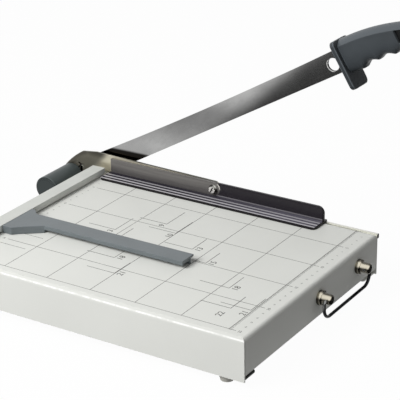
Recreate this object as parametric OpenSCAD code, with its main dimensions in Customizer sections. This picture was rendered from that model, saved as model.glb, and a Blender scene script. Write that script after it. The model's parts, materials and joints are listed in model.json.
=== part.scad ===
// Guillotine paper cutter for A4 sheets: a folded steel table with a fixed knife along its rear edge,
// a long hand blade on a sprung pivot, a pressing guard on its own arm, a side fence with a sliding
// square gauge, and a wire carrying bail.
// Working frame: X along the cut from the fence's inner face, Y to the rear from the cutting plane,
// Z up from the table. seat() moves that frame so that the part stands on Z = 0 about its middle.

/* [Table] */
// Width of the table along the cut
table_w = 343; // [300:1:420]
// Depth of the table from the fixed knife to the front
table_d = 254.5; // [220:0.5:320]
// Table left over outside the fence's inner face
table_left = 21; // [18:0.5:30]
// Height of the front and rear panels
panel_h = 42.5; // [34:0.5:60]
// How much shorter the two end panels are
end_panel_step = 6.2; // [2:0.1:12]
// Thickness of the folded sheet
sheet_t = 1.5; // [1:0.1:2.5]
// Outer radius of the folds
fold_r = 4; // [3:0.5:8]
// Width of the turned-in bottom flanges
flange_w = 22; // [18:0.5:30]
// Width of the open seam at each corner
seam_w = 0.5; // [0.3:0.1:1]

/* [Feet] */
// Height of a foot below the flange
foot_h = 7.5; // [6:0.5:20]
// Diameter of a foot at the flange
foot_top_d = 16; // [12:0.5:16]
// Diameter of a foot at the floor
foot_floor_d = 12.5; // [11:0.5:16]
// Distance of the feet from the ends of the table
foot_inset = 24; // [14:1:60]
// Diameter of the foot screws
foot_screw_d = 4; // [3:0.5:5]

/* [Fixed knife] */
// Thickness of the fixed knife
knife_t = 3.2; // [2.5:0.1:5]
// Depth of the pivot below the table, half the height of the knife
pivot_drop = 11.4; // [9:0.1:16]
// Height left at the fixed knife's tapered right end
knife_nose = 4.5; // [3:0.5:9]
// Number of screws that hold the fixed knife
knife_screws_n = 5; // [3:1:7]
// Diameter of the knife screws
knife_screw_d = 4; // [3:0.5:5]

/* [Pivot] */
// Distance of the pivot outside the fence's inner face
pivot_out = 47.5; // [44:0.5:60]
// Diameter of the pivot bolt
bolt_d = 9; // [6:0.5:11]
// Width across the flats of the bolt's head and nut
bolt_flats = 15; // [13:0.5:18]
// Height of the bolt's head
bolt_head_h = 5; // [3:0.5:8]
// Thickness of the washers on the bolt
washer_t = 1.4; // [1:0.1:2]
// Outer diameter of the washers on the bolt
washer_d = 13.6; // [12.5:0.1:14]
// Running clearance round the bolt
run_gap = 0.05; // [0.02:0.01:0.1]
// Clearance between flat faces that slide past each other
slide_gap = 0.2; // [0.1:0.05:0.4]

/* [Spring housing] */
// Length of the spring housing
housing_l = 48; // [36:1:70]
// Diameter of the spring housing
housing_d = 27.4; // [26:0.2:29]
// Wall of the spring housing
housing_wall = 2.5; // [1.5:0.1:3.5]
// Thickness of the housing's end cap
cap_t = 3; // [2:0.5:5]
// Diameter of the spring wire
spring_wire = 1.2; // [0.8:0.1:1.3]
// Mean diameter of the spring
spring_d = 16; // [15.6:0.1:16.8]
// Number of turns of the spring
spring_turns = 9; // [5:1:12]
// Distance of the spring's hooked tail from the pivot
tail_r = 16.5; // [15:0.5:18]

/* [Blade] */
// Angle at which the blade stands open
open_angle = 29.9; // [10:0.1:45]
// Thickness of the blade
blade_t = 2.6; // [2:0.1:4]
// Distance from the pivot to the handle's collar
blade_l = 375.5; // [372:0.5:440]
// Distance of the cutting edge below the pivot
edge_drop = 14.4; // [12:0.1:20]
// Least height of the blade's back above the pivot
back_rise = 6.85; // [5:0.05:12]
// Distance of that waist from the pivot
back_waist = 225; // [150:5:260]
// Radius of the hollow back
back_r = 5550; // [4000:50:9000]
// Width of the ground bevel behind the edge
bevel_w = 3; // [1.5:0.5:6]
// Diameter of the hole near the handle
lock_hole_d = 13; // [6:0.5:14]
// Distance of that hole from the collar
lock_hole_back = 14; // [9:0.5:30]
// Distance of that hole below the pivot line
lock_hole_drop = 4; // [2:0.5:6]
// Length of the tang inside the grip
tang_l = 72; // [50:1:80]
// Height of the tang
tang_h = 13; // [10:0.5:15]

/* [Handle] */
// Width of the collar and of its lower guard
collar_w = 31; // [24:0.5:34]
// Thickness of the collar
collar_t = 4; // [3:0.5:6]
// Height of the collar above the pivot line
collar_rise = 16; // [14:0.5:22]
// Depth of the collar below the pivot line
collar_drop = 32.6; // [26:0.2:38]
// Corner radius of the collar
collar_r = 5; // [2:0.5:8]
// How far the collar's front lower corner leans in
collar_lean = 2.2; // [0:0.2:5]
// Length of the grip with its collar
grip_l = 110; // [100:1:130]
// Width of the grip
grip_w = 21; // [18:0.5:23]
// Height of the grip at its second finger ridge
grip_h = 31; // [28:0.1:34]
// Height of the grip's crown above the pivot line
grip_rise = 16.1; // [15:0.1:20]
// Radius of the grip's drooping back
grip_r = 215; // [180:1:400]
// Height of the domed top above the grip's flat sides
grip_dome = 5.8; // [4:0.1:8]
// Spacing of the finger grooves
finger_pitch = 18.9; // [17:0.1:22]
// Depth of the finger grooves
finger_depth = 3.2; // [1:0.1:4]
// Extra depth of the grip where it meets the collar
grip_flare = 4.4; // [2:0.2:8]
// Depth of the side recesses
recess_depth = 3; // [1:0.5:4]
// Diameter of the handle screws
grip_screw_d = 4; // [3:0.5:5]

/* [Press arm] */
// Thickness of the arm
arm_t = 2; // [1.5:0.1:3]
// Radius of the arm's eye round the pivot
arm_eye_r = 14.4; // [13:0.1:16]
// Height of the arm's upper edge at its shoulder
arm_top = 21; // [18:0.5:26]
// Height of the arm's lower edge above the table
arm_foot = 1.2; // [0.8:0.1:3]
// Radius of the arm's round end
arm_end_r = 7.6; // [6.5:0.1:9]
// Radius of the rounded shoulder over the pivot
shoulder_r = 100; // [60:5:200]

/* [Guard] */
// Length of the guard
guard_l = 262; // [240:1:290]
// Distance of the guard's left end from the fence
guard_left = 2.5; // [2:0.5:8]
// Thickness of the guard's wall
guard_t = 2.5; // [2:0.1:4]
// Thickness of the guard's pressing foot
guard_foot_t = 2.3; // [2:0.1:4]
// Reach of the pressing foot in front of the arm
guard_foot_w = 19.5; // [14:0.5:24]
// Height of the guard's wall
guard_h = 18; // [17.5:0.5:26]
// Corner radius of the guard
guard_r = 7; // [3:0.5:9]
// Number of grooves along the pressing foot
guard_grooves_n = 3; // [1:1:4]
// Distance of the guard's screw from the fence
guard_screw_x = 135; // [100:1:180]
// Height of the guard's screw
guard_screw_z = 10.8; // [10:0.1:12]
// Diameter of the guard's screw
guard_screw_d = 4; // [3:0.5:5]

/* [Fence] */
// Width of the fence
fence_w = 15.5; // [12:0.5:17]
// Height of the fence
fence_h = 8; // [6.5:0.5:12]
// Length of the fence
fence_l = 241; // [200:1:242]
// Distance of the fence's rear end from the cutting plane
fence_back = 12.2; // [11:0.2:20]
// Depth of the groove under the fence's inner edge
groove_depth = 4; // [2:0.5:5]
// Height of the groove under the fence's inner edge
groove_h = 1.6; // [1.4:0.1:3.5]
// Diameter of the fence screws
fence_screw_d = 4; // [3:0.5:4.5]

/* [Gauge] */
// Distance of the gauge's hold-down lip from the cutting plane
gauge_y = 147.2; // [60:0.2:190]
// Length of the gauge's beam from the fence
gauge_l = 200; // [120:1:290]
// Width of the beam with its lip
gauge_w = 20; // [16:0.5:30]
// Width of the hold-down lip
lip_w = 5; // [3:0.5:8]
// Thickness of the gauge's top plate
gauge_plate_t = 2.2; // [1.5:0.1:3]
// Height of the beam's front skirt
skirt_h = 4.4; // [3:0.2:6]
// Thickness of the gauge's walls
gauge_wall = 2.2; // [1.5:0.1:3]
// Reach of the gauge's head along the fence in front of the beam
head_l = 20.5; // [12:0.5:40]
// Width of the gauge's head at its front end
head_w = 16.5; // [8:0.5:24]

/* [Bail] */
// Distance of the bail's middle from the cutting plane
bail_y = 83; // [60:1:190]
// Depth of the bail's pivot below the table
bail_drop = 17.5; // [14:0.5:20]
// Distance between the bail's two posts
bail_posts_w = 77.5; // [50:0.5:120]
// Length of the bail's legs
bail_leg = 18.5; // [16:0.5:30]
// Diameter of the bail's wire
bail_wire_d = 3.2; // [2.5:0.1:4]
// Radius of the bail's lower corners at the middle of the wire
bail_bend_r = 11; // [5:0.5:13]
// Diameter of a post's knob
post_d = 10.6; // [9:0.2:13]
// Length of a post from the end panel
post_l = 13.5; // [13:0.5:20]
// Diameter of a post's foot
post_foot_d = 15; // [13.5:0.5:20]
// Thickness of a post's foot
post_foot_t = 4.5; // [2:0.5:6]
// Distance of the bail's wire from the end panel
bail_out = 9; // [8:0.5:10]
// Diameter of the screws that hold the posts
post_screw_d = 4; // [3:0.5:5]

/* [Hidden] */
$fn = 64;

// Small sizes shared by the fasteners
eps = 0.01;
hole_gap = 0.1;          // a fixed screw in its hole, on the radius
touch = 0.05;            // two pieces that seat on each other
head_ratio = 2;          // a screw head's diameter to its shank's
nut_ratio = 0.8;         // a nut's height to its thread
flats_ratio = 1.75;      // a nut's width across flats to its thread
drive_w = 1;             // width of a screw's drive slot
drive_depth = 0.8;       // depth of a screw's drive slot
thread_past = 1;         // screw left over past its nut
past = 1;                // how far a cut runs on past the piece it cuts

// Table and panels
table_x0 = -table_left;
table_x1 = table_w - table_left;
rear_y = -knife_t;
front_y = rear_y - table_d;
flange_z = -panel_h;
floor_z = flange_z - foot_h;
end_panel_h = panel_h - end_panel_step;
foot_y_in = 10.5;
foot_x = [table_x0 + foot_inset, table_x1 - foot_inset];
foot_y = [front_y + foot_y_in, rear_y - foot_y_in];
foot_pos = [for (x = foot_x, y = foot_y) [x, y]];
foot_head_h = 2.4;
flange_r = 3;

// Fixed knife
knife_h = 2 * pivot_drop;
knife_span = table_x1 - table_x0;
knife_screw_x = [for (i = [0:knife_screws_n - 1]) table_x0 + knife_span * (i + 0.5) / knife_screws_n];
knife_screw_z = -pivot_drop;

// Pieces along the pivot bolt, from the rear to the front
pivot = [-pivot_out, -pivot_drop];
bolt_r = bolt_d / 2;
blade_y0 = slide_gap;
blade_y1 = blade_y0 + blade_t;
head_washer_y = blade_y1 + slide_gap;
head_y = head_washer_y + washer_t;
arm_y0 = rear_y - slide_gap;
arm_y1 = arm_y0 - arm_t;
arm_washer_y = arm_y1 - slide_gap;
housing_y0 = arm_washer_y - washer_t;
housing_y1 = housing_y0 - housing_l;
housing_r = housing_d / 2;
bore_r = housing_r - housing_wall;
web_t = 2.5;
head_washer_step = 4;
head_washer_d = washer_d + head_washer_step;
spring_y0 = housing_y0 - web_t;
cap_y = housing_y1 + cap_t;
bolt_end_y = cap_y + thread_past;
nut_h = bolt_d * nut_ratio;
nut_y = bolt_end_y + thread_past;
seat_y = nut_y + nut_h;
spring_y1 = seat_y + washer_t;

// Spring path: a hooked tail in the arm's slot, then the turns down to the spring seat
spring_r = spring_d / 2;
tail_angle = 53;
tail_y = (arm_y1 + housing_y0) / 2;
spring_sides = 6;
spring_rings = 8;
spring_rise = spring_wire / 2 + touch;
coil_y0 = spring_y0 - spring_rise - spring_wire;
coil_y1 = spring_y1 + spring_rise;
tail_path = [[tail_r, arm_y0 - arm_t / 4], [tail_r, tail_y + spring_wire], [tail_r - spring_wire / 2, tail_y],
             [spring_r + spring_wire / 2, tail_y], [spring_r, tail_y - spring_wire / 2]];
coil_n = spring_turns * spring_rings;
spring_path = concat(
    [for (p = tail_path) [p[0] * cos(tail_angle), p[1], p[0] * sin(tail_angle)]],
    [for (i = [0:coil_n]) let (a = tail_angle + 360 * i / spring_rings)
        [spring_r * cos(a), coil_y0 + (coil_y1 - coil_y0) * i / coil_n, spring_r * sin(a)]]);
spring_refs = [for (i = [0:len(spring_path) - 1])
               i < len(tail_path) ? [-sin(tail_angle), 0, cos(tail_angle)] : [0, 1, 0]];
coil_pts = [for (i = [len(tail_path):len(spring_path) - 1]) spring_path[i]];
spring_gap = min([for (i = [0:coil_n], j = [i + spring_rings / 2:1:coil_n]) norm(coil_pts[i] - coil_pts[j])])
             - spring_wire;
echo(least_gap_between_spring_turns = spring_gap);

// Blade outline in its own frame: s along the blade from the pivot, p square to it
function back_p(s) = back_rise + pow(s - back_waist, 2) / (2 * back_r);
back_steps = 24;
heel_s = 18;
lock_hole = [blade_l - lock_hole_back, -lock_hole_drop];
tang_p = -3.5;
bevel_share = 0.8;
bevel_angle = atan(bevel_share * blade_t / bevel_w);

// Grip: crown line, ridge line, and a section with flat sides and a domed top that closes at the far end
grip_x0 = collar_t;
grip_crown_x = 12;
grip_ridge_x = 37.7;
grip_round_l = 13;
grip_end_k = 0.02;
flare_x = 18.9;
flare_fade = 9.5;
ridge_slope = 0.09;
ridge_r = 300;
grip_square = 4;
finger_steps = 8;
end_rings = 8;
grip_sides = 40;
function grip_top(x) = grip_rise - pow(max(x - grip_crown_x, 0), 2) / (2 * grip_r);
function grip_flare_at(x) = grip_flare * exp(-max(x - flare_x, 0) / flare_fade);
function grip_finger(x) = x < grip_ridge_x - finger_pitch ? 0
    : finger_depth * abs(sin(180 * (x - grip_ridge_x) / finger_pitch));
function ridge_p(x) = grip_top(grip_ridge_x) - grip_h - ridge_slope * (x - grip_ridge_x)
    - pow(max(x - grip_ridge_x - finger_pitch, 0), 2) / (2 * ridge_r);
function grip_low(x) = ridge_p(x) - grip_flare_at(x) + grip_finger(x);
function grip_close(x) = sqrt(max(1 - pow(max(x - grip_l + grip_round_l, 0) / grip_round_l, 2), grip_end_k));
function power(v, n) = sign(v) * pow(abs(v), n);
function grip_section(a, top, low) = sin(a) < 0
    ? [power(cos(a), 2 / grip_square),
       top - grip_dome - (top - grip_dome - low) * pow(-sin(a), 2 / grip_square)]
    : [cos(a), top - grip_dome * pow(cos(a), 2)];
function grip_ring(x) = let (top = grip_top(x), low = grip_low(x), k = grip_close(x), mid = (top + low) / 2)
    [for (j = [0:grip_sides - 1]) let (q = grip_section(360 * j / grip_sides, top, low))
        [blade_l + x, k * grip_w / 2 * q[0], mid + k * (q[1] - mid)]];
grip_end_x = grip_l - grip_round_l;
grip_x = concat(
    [grip_x0],
    [for (x = [grip_ridge_x - 2 * finger_pitch:finger_pitch / finger_steps:grip_end_x]) if (x > grip_x0) x],
    [for (i = [1:end_rings]) grip_end_x + grip_round_l * sin(90 * i / end_rings)]);
grip_rings = len(grip_x) - 1;
grip_pts = [for (x = grip_x) each grip_ring(x)];
blade_mid_y = (blade_y0 + blade_y1) / 2;
grip_screw_x = [for (i = [0, 2]) collar_t + finger_pitch * (i + 1)];
grip_screw_in = 3;
grip_screw_l = (grip_w + blade_t) / 2 + grip_screw_in;
grip_head_sink = 1;
recess_back = 43.5;
recess_x0 = grip_l - recess_back;
recess_l = 30;
recess_h = 13;
recess_in = 6.1;
recess_r = 2;
recess_slope = (recess_x0 + recess_l / 2 - grip_crown_x) / grip_r;
collar_corners = [[collar_lean + collar_r - collar_w / 2, collar_r - collar_drop],
                  [collar_w / 2 - collar_r, collar_r - collar_drop],
                  [collar_w / 2 - collar_r, collar_rise - collar_r],
                  [collar_r - collar_w / 2, collar_rise - collar_r]];

// Press arm and guard
wall_y0 = arm_y1 - slide_gap;
wall_y1 = wall_y0 - guard_t;
guard_front_y = wall_y0 - guard_foot_w;
guard_x1 = guard_left + guard_l;
guard_lift = 0.1;
wall_x0 = guard_left + guard_t;
guard_end_r = 4;
lip_behind = 5;
guard_screw_head_h = 3;
guard_washer_t = 0.8;
guard_washer_d = 9.6;
guard_nut_h = 2.3;
guard_groove_depth = 0.8;
shoulder_x = 13.7;
shoulder_step = 2.5;
shoulder = [shoulder_x, arm_top + pivot_drop - shoulder_step];
shoulder_in = shoulder_r - arm_eye_r;
shoulder_turn = atan2(shoulder[1], shoulder[0])
                - acos((shoulder * shoulder + shoulder_in * shoulder_in - shoulder_r * shoulder_r)
                       / (2 * shoulder_in * norm(shoulder)));
shoulder_mid = shoulder_in * [cos(shoulder_turn), sin(shoulder_turn)];
shoulder_a0 = shoulder_turn + 180;
shoulder_a1 = atan2(shoulder[1] - shoulder_mid[1], shoulder[0] - shoulder_mid[0]);
shoulder_steps = 16;
shoulder_arc = [for (i = [shoulder_steps:-1:0])
                let (a = shoulder_a0 + (shoulder_a1 - shoulder_a0) * i / shoulder_steps,
                     r = i == 0 ? shoulder_r - touch : shoulder_r)
                shoulder_mid + r * [cos(a), sin(a)]];
arm_clear = 2;
arm_ramp = 8;
arm_neck = 30;
tail_clear = 0.9;
arm_slot_w = spring_wire + 2 * tail_clear;
arm_slot_l = 8;

// Fence and gauge
fence_y0 = -fence_back;
fence_y1 = fence_y0 - fence_l;
fence_screws_n = 3;
fence_screw_y = [for (i = [0:fence_screws_n - 1]) fence_y0 - fence_l * (i + 0.5) / fence_screws_n];
fence_screw_l = 5;
tongue_gap = 0.25;
gauge_gap = 0.3;
gauge_y0 = -gauge_y;
gauge_y1 = gauge_y0 - gauge_w;
head_y1 = gauge_y1 - head_l;
head_back = 8;
head_back_w = 12;
head_tip_w = 4;
head_round = 5;
stop_y = gauge_y0 - lip_w;

// Bail
bail_x = table_x1 + bail_out;
bail_z = -bail_drop;
wire_r = bail_wire_d / 2;
post_y = [-bail_y - bail_posts_w / 2, -bail_y + bail_posts_w / 2];
post_gap = 0.35;
bail_half = bail_posts_w / 2 + post_d / 2 + post_gap + wire_r;
bail_end_r = 2.2;
bail_pin_in = bail_posts_w / 2 - post_d / 2;
post_round = 2;

// Overall reach at rest, which sets the part's origin
function tip_x(p) = p[0] * cos(open_angle) - p[2] * sin(open_angle) - pivot_out;
reach_x1 = max([for (p = grip_pts) tip_x(p)]);
reach_x0 = -pivot_out - max(edge_drop, arm_eye_r, housing_r);
reach_y1 = blade_mid_y + collar_w / 2;
origin = [(reach_x0 + reach_x1) / 2, (front_y + reach_y1) / 2, floor_z];

paint = "#e0e2dc";
nickel = "#b9b6a6";
steel = "#a9adb0";
dark_steel = "#55585c";
slate = "#42484e";
smoke = "#2b272d";
pale_grey = "#c8cac6";
gauge_grey = "#80858a";
housing_grey = "#4b5252";
rubber_grey = "#c9c8c0";

// Puts the working frame where the part stands
module seat() translate(-origin) children();

// Turns a Z-up child so that its axis runs to the rear, from the point given
module to_rear(at) translate(at) rotate([-90, 0, 0]) children();

// Turns a Z-up child so that its axis runs to the front, from the point given
module to_front(at) translate(at) rotate([90, 0, 0]) children();

// Extrudes an outline drawn in X and Z along Y, between two planes
module slab(y0, y1) translate([0, max(y0, y1), 0]) rotate([90, 0, 0]) linear_extrude(abs(y1 - y0)) children();

// The blade's frame: s to +X, p to +Z, about the pivot at the open angle
module at_pivot(angle) translate([pivot[0], 0, pivot[1]]) rotate([0, -angle, 0]) children();

// Rectangle from one corner to the other with round corners, as exact arcs
module round_box(a, b, r) {
    translate([a[0] + r, a[1]]) square([b[0] - a[0] - 2 * r, b[1] - a[1]]);
    translate([a[0], a[1] + r]) square([b[0] - a[0], b[1] - a[1] - 2 * r]);
    for (x = [a[0] + r, b[0] - r], y = [a[1] + r, b[1] - r]) translate([x, y]) circle(r);
}

// Ring of a washer, standing on Z = 0
module washer(d, bore_d, t) difference() {
    cylinder(h = t, d = d);
    translate([0, 0, -eps]) cylinder(h = t + 2 * eps, d = bore_d);
}

// Hexagon nut, standing on Z = 0
module nut(d, h, flats) difference() {
    cylinder(h = h, d = flats / cos(30), $fn = 6);
    translate([0, 0, -eps]) cylinder(h = h + 2 * eps, d = d + 2 * touch);
}

// Slotted cheese-head screw: head above Z = 0, shank below
module head_screw(d, l, head_d, head_h) difference() {
    union() {
        cylinder(h = head_h, d = head_d);
        translate([0, 0, -l]) cylinder(h = l + eps, d = d);
    }
    translate([-head_d, -drive_w / 2, head_h - drive_depth]) cube([2 * head_d, drive_w, drive_depth + eps]);
}

// Slotted countersunk screw: head flush with Z = 0, shank below
module sunk_screw(d, l) difference() {
    union() {
        translate([0, 0, -d / 2]) cylinder(h = d / 2, d1 = d, d2 = d * head_ratio);
        translate([0, 0, -l]) cylinder(h = l - d / 2 + eps, d = d);
    }
    translate([-d * head_ratio, -drive_w / 2, -drive_depth])
        cube([2 * d * head_ratio, drive_w, drive_depth + eps]);
}

// The hole that a countersunk screw sits in
module sunk_hole(d, l) {
    translate([0, 0, -d / 2 - hole_gap])
        cylinder(h = d / 2 + hole_gap, d1 = d, d2 = d * head_ratio + 2 * hole_gap);
    translate([0, 0, -l - eps]) cylinder(h = l + 2 * eps, d = d + 2 * hole_gap);
}

// Outline of a panel pair across one way of the table: flat top, round upper corners, open below
module fold_outline(a, b, drop, r) {
    translate([a, -drop]) square([b - a, drop - r]);
    translate([a + r, -drop]) square([b - a - 2 * r, drop]);
    for (x = [a + r, b - r]) translate([x, -r]) circle(r);
}

// The folded block that lies inside the sheet's outer face by the inset given
module fold_block(inset, drop) intersection() {
    slab(front_y - past, rear_y + past) translate([0, -inset])
        fold_outline(table_x0 + inset, table_x1 - inset, drop - inset, max(fold_r - inset, eps));
    translate([table_x0 - past, 0, -inset]) rotate([90, 0, 90]) linear_extrude(table_w + 2 * past)
        fold_outline(front_y + inset, rear_y - inset, drop - inset, max(fold_r - inset, eps));
}

// One turned-in flange with round inner corners, along the panel whose inner face is at y0
module flange(y0, way) translate([0, 0, flange_z]) linear_extrude(sheet_t) intersection() {
    round_box([table_x0 + sheet_t + seam_w, y0 - flange_w],
              [table_x1 - sheet_t - seam_w, y0 + flange_w], flange_r);
    translate([table_x0, min(y0, y0 + way * flange_w)]) square([table_w, flange_w]);
}

module base_shell() color(paint) seat() difference() {
    union() {
        difference() {
            fold_block(0, panel_h);
            fold_block(sheet_t, panel_h + sheet_t);
            for (x = [table_x0 - past, table_x1 - sheet_t - eps])
                translate([x, front_y + sheet_t, flange_z - past])
                    cube([sheet_t + past + eps, table_d - 2 * sheet_t, end_panel_step + past]);
        }
        flange(front_y + sheet_t, 1);
        flange(rear_y - sheet_t, -1);
    }
    for (x = [table_x0 - past, table_x1 - sheet_t - eps], y = [front_y + sheet_t, rear_y - sheet_t - seam_w])
        translate([x, y, flange_z - past]) cube([sheet_t + past + eps, seam_w, panel_h + past - fold_r]);
    for (p = foot_pos) translate([p[0], p[1], flange_z - past])
        cylinder(h = sheet_t + 2 * past, d = foot_screw_d + 2 * hole_gap);
    for (x = knife_screw_x) to_front([x, rear_y + past, knife_screw_z])
        cylinder(h = sheet_t + 2 * past, d = knife_screw_d + 2 * hole_gap);
    for (y = fence_screw_y) translate([-fence_w / 2, y, -sheet_t - past])
        cylinder(h = sheet_t + 2 * past, d = fence_screw_d + 2 * hole_gap);
    for (y = post_y) translate([table_x1 - sheet_t - past, y, bail_z]) rotate([0, 90, 0])
        cylinder(h = sheet_t + 2 * past, d = post_screw_d + 2 * hole_gap);
}

module feet() color(rubber_grey) seat() for (p = foot_pos) translate([p[0], p[1], floor_z]) difference() {
    cylinder(h = foot_h, d1 = foot_floor_d, d2 = foot_top_d);
    translate([0, 0, -eps]) cylinder(h = foot_h / 2, d = foot_screw_d * head_ratio + 2 * hole_gap);
    translate([0, 0, -eps]) cylinder(h = foot_h + 2 * eps, d = foot_screw_d + 2 * hole_gap);
}

module foot_screws() color(steel) seat() for (p = foot_pos)
    translate([p[0], p[1], floor_z + foot_h / 2 - eps]) rotate([180, 0, 0])
        head_screw(foot_screw_d, foot_h / 2 + sheet_t + foot_screw_d * nut_ratio + thread_past,
                   foot_screw_d * head_ratio, foot_head_h);

module foot_nuts() color(steel) seat() for (p = foot_pos) translate([p[0], p[1], flange_z + sheet_t])
    nut(foot_screw_d, foot_screw_d * nut_ratio, foot_screw_d * flats_ratio);

module lower_knife() color(nickel) seat() difference() {
    union() {
        slab(0, -knife_t) polygon([[-pivot_out, 0], [-pivot_out, -knife_h], [table_x1 - knife_h, -knife_h],
                                   [table_x1, -knife_nose], [table_x1, 0]]);
        to_front([pivot[0], 0, pivot[1]]) cylinder(h = knife_t, r = pivot_drop);
    }
    to_front([pivot[0], past, pivot[1]]) cylinder(h = knife_t + 2 * past, r = bolt_r + run_gap);
    for (x = knife_screw_x) to_rear([x, 0, knife_screw_z]) sunk_hole(knife_screw_d, knife_t + eps);
}

module knife_screws() color(steel) seat() for (x = knife_screw_x) to_rear([x, 0, knife_screw_z])
    sunk_screw(knife_screw_d, knife_t + sheet_t + knife_screw_d * nut_ratio + thread_past);

module knife_nuts() color(steel) seat() for (x = knife_screw_x)
    to_front([x, rear_y - sheet_t, knife_screw_z])
        nut(knife_screw_d, knife_screw_d * nut_ratio, knife_screw_d * flats_ratio);

module pivot_bolt() color(steel) seat() {
    to_rear([pivot[0], head_y, pivot[1]]) cylinder(h = bolt_head_h, d = bolt_flats / cos(30), $fn = 6);
    to_front([pivot[0], head_y + eps, pivot[1]]) cylinder(h = head_y - bolt_end_y + eps, r = bolt_r);
}

module pivot_washers() color(steel) seat() {
    to_rear([pivot[0], head_washer_y, pivot[1]]) washer(head_washer_d, bolt_d + 2 * run_gap, washer_t);
    to_front([pivot[0], arm_washer_y, pivot[1]]) washer(washer_d, bolt_d + 2 * run_gap, washer_t);
}

module pivot_nut() color(steel) seat() to_rear([pivot[0], nut_y, pivot[1]]) nut(bolt_d, nut_h, bolt_flats);

module spring_seat() color(steel) seat() to_rear([pivot[0], seat_y, pivot[1]])
    washer(spring_d + 2 * spring_wire, bolt_d + 2 * run_gap, washer_t);

// One unbroken tube swept along a path, with rings square to it and turned by the reference directions
module swept_tube(path, refs, r, sides) {
    last = len(path) - 1;
    function along(i) = let (d = path[min(i + 1, last)] - path[max(i - 1, 0)]) d / norm(d);
    function side(i) = let (s = cross(along(i), refs[i])) s / norm(s);
    pts = [for (i = [0:last]) let (t = along(i), a = side(i), b = cross(t, a))
           for (k = [0:sides - 1]) path[i] + r * (a * cos(360 * k / sides) + b * sin(360 * k / sides))];
    walls = [for (i = [0:last - 1], k = [0:sides - 1])
             let (a = i * sides + k, b = i * sides + (k + 1) % sides)
             each [[a, b, a + sides], [b, b + sides, a + sides]]];
    ends = concat([for (k = [1:sides - 2]) [0, k + 1, k]],
                  [for (k = [1:sides - 2]) [last * sides, last * sides + k, last * sides + k + 1]]);
    polyhedron(pts, concat(walls, ends));
}

module pivot_spring() color(dark_steel) seat() translate([pivot[0], 0, pivot[1]])
    swept_tube(spring_path, spring_refs, spring_wire / 2, spring_sides);

module spring_housing() color(housing_grey) seat() difference() {
    to_front([pivot[0], housing_y0, pivot[1]]) cylinder(h = housing_l, r = housing_r);
    to_front([pivot[0], spring_y0, pivot[1]]) cylinder(h = housing_l, r = bore_r);
    to_front([pivot[0], housing_y0 + past, pivot[1]]) cylinder(h = web_t + 2 * past, r = bolt_r + run_gap);
    at_pivot(tail_angle) to_front([spring_r, housing_y0 + past, 0])
        cylinder(h = web_t + 2 * past, d = spring_wire + 4 * hole_gap + slide_gap);
}

module housing_cap() color(housing_grey) seat() to_rear([pivot[0], housing_y1, pivot[1]])
    cylinder(h = cap_t, r = bore_r - touch / 2);

// Blade outline with its round heel, hollow back, straight edge and tang
module blade_outline() {
    circle(edge_drop);
    tang_end = blade_l + tang_l;
    tang_low = tang_p - tang_h / 2;
    polygon(concat(
        [[0, -edge_drop], [blade_l, -edge_drop], [blade_l, tang_low], [tang_end, tang_low],
         [tang_end, tang_low + tang_h], [blade_l, tang_low + tang_h]],
        [for (i = [back_steps:-1:0]) let (s = heel_s + (blade_l - heel_s) * i / back_steps) [s, back_p(s)]],
        [[0, edge_drop]]));
}

module blade() color(steel) seat() at_pivot(open_angle) difference() {
    slab(blade_y0, blade_y1) blade_outline();
    to_rear([0, -past, 0]) cylinder(h = blade_y1 + 2 * past, r = bolt_r + run_gap);
    to_rear([lock_hole[0], -past, lock_hole[1]]) cylinder(h = blade_y1 + 2 * past, d = lock_hole_d);
    for (x = grip_screw_x) to_rear([blade_l + x, -past, tang_p])
        cylinder(h = blade_y1 + 2 * past, d = grip_screw_d + 2 * hole_gap);
    translate([heel_s, blade_y1, bevel_w - edge_drop]) rotate([90 + bevel_angle, 0, 0])
        translate([0, -2 * bevel_w, -blade_t]) cube([blade_l, 2 * bevel_w, blade_t]);
}

// The moulded grip as one skin over its rings, closed at both ends
module grip_skin() {
    walls = [for (i = [0:grip_rings - 1], j = [0:grip_sides - 1])
             let (a = i * grip_sides + j, b = i * grip_sides + (j + 1) % grip_sides)
             each [[a, a + grip_sides, b], [b, a + grip_sides, b + grip_sides]]];
    base = grip_rings * grip_sides;
    ends = concat([for (j = [1:grip_sides - 2]) [0, j, j + 1]],
                  [for (j = [1:grip_sides - 2]) [base, base + j + 1, base + j]]);
    polyhedron(grip_pts, concat(walls, ends));
}

module handle_grip() color(slate) seat() at_pivot(open_angle) translate([0, blade_mid_y, 0]) difference() {
    union() {
        translate([blade_l, 0, 0]) rotate([90, 0, 90]) linear_extrude(collar_t + eps)
            hull() for (q = collar_corners) translate(q) circle(collar_r);
        grip_skin();
    }
    translate([blade_l - past, -blade_t / 2 - touch, tang_p - tang_h / 2 - touch])
        cube([tang_l + past + touch, blade_t + 2 * touch, tang_h + 2 * touch]);
    for (x = grip_screw_x) to_front([blade_l + x, grip_w / 2 + past, tang_p]) {
        cylinder(h = grip_screw_l + past, d = grip_screw_d + 2 * hole_gap);
        cylinder(h = recess_depth + past, d = grip_screw_d * head_ratio + 2 * hole_gap);
    }
    for (side = [-1, 1]) translate([0, side * grip_w / 2, 0]) slab(-recess_depth, recess_depth)
        translate([blade_l + recess_x0, grip_top(recess_x0) - recess_in])
            multmatrix([[1, 0, 0, 0], [-recess_slope, 1, 0, 0], [0, 0, 1, 0], [0, 0, 0, 1]])
                round_box([0, -recess_h], [recess_l, 0], recess_r);
}

module handle_screws() color(steel) seat() at_pivot(open_angle) translate([0, blade_mid_y, 0])
    for (x = grip_screw_x) to_rear([blade_l + x, grip_w / 2 - recess_depth, tang_p])
        head_screw(grip_screw_d, grip_screw_l - recess_depth, grip_screw_d * head_ratio,
                   recess_depth - grip_head_sink);

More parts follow.
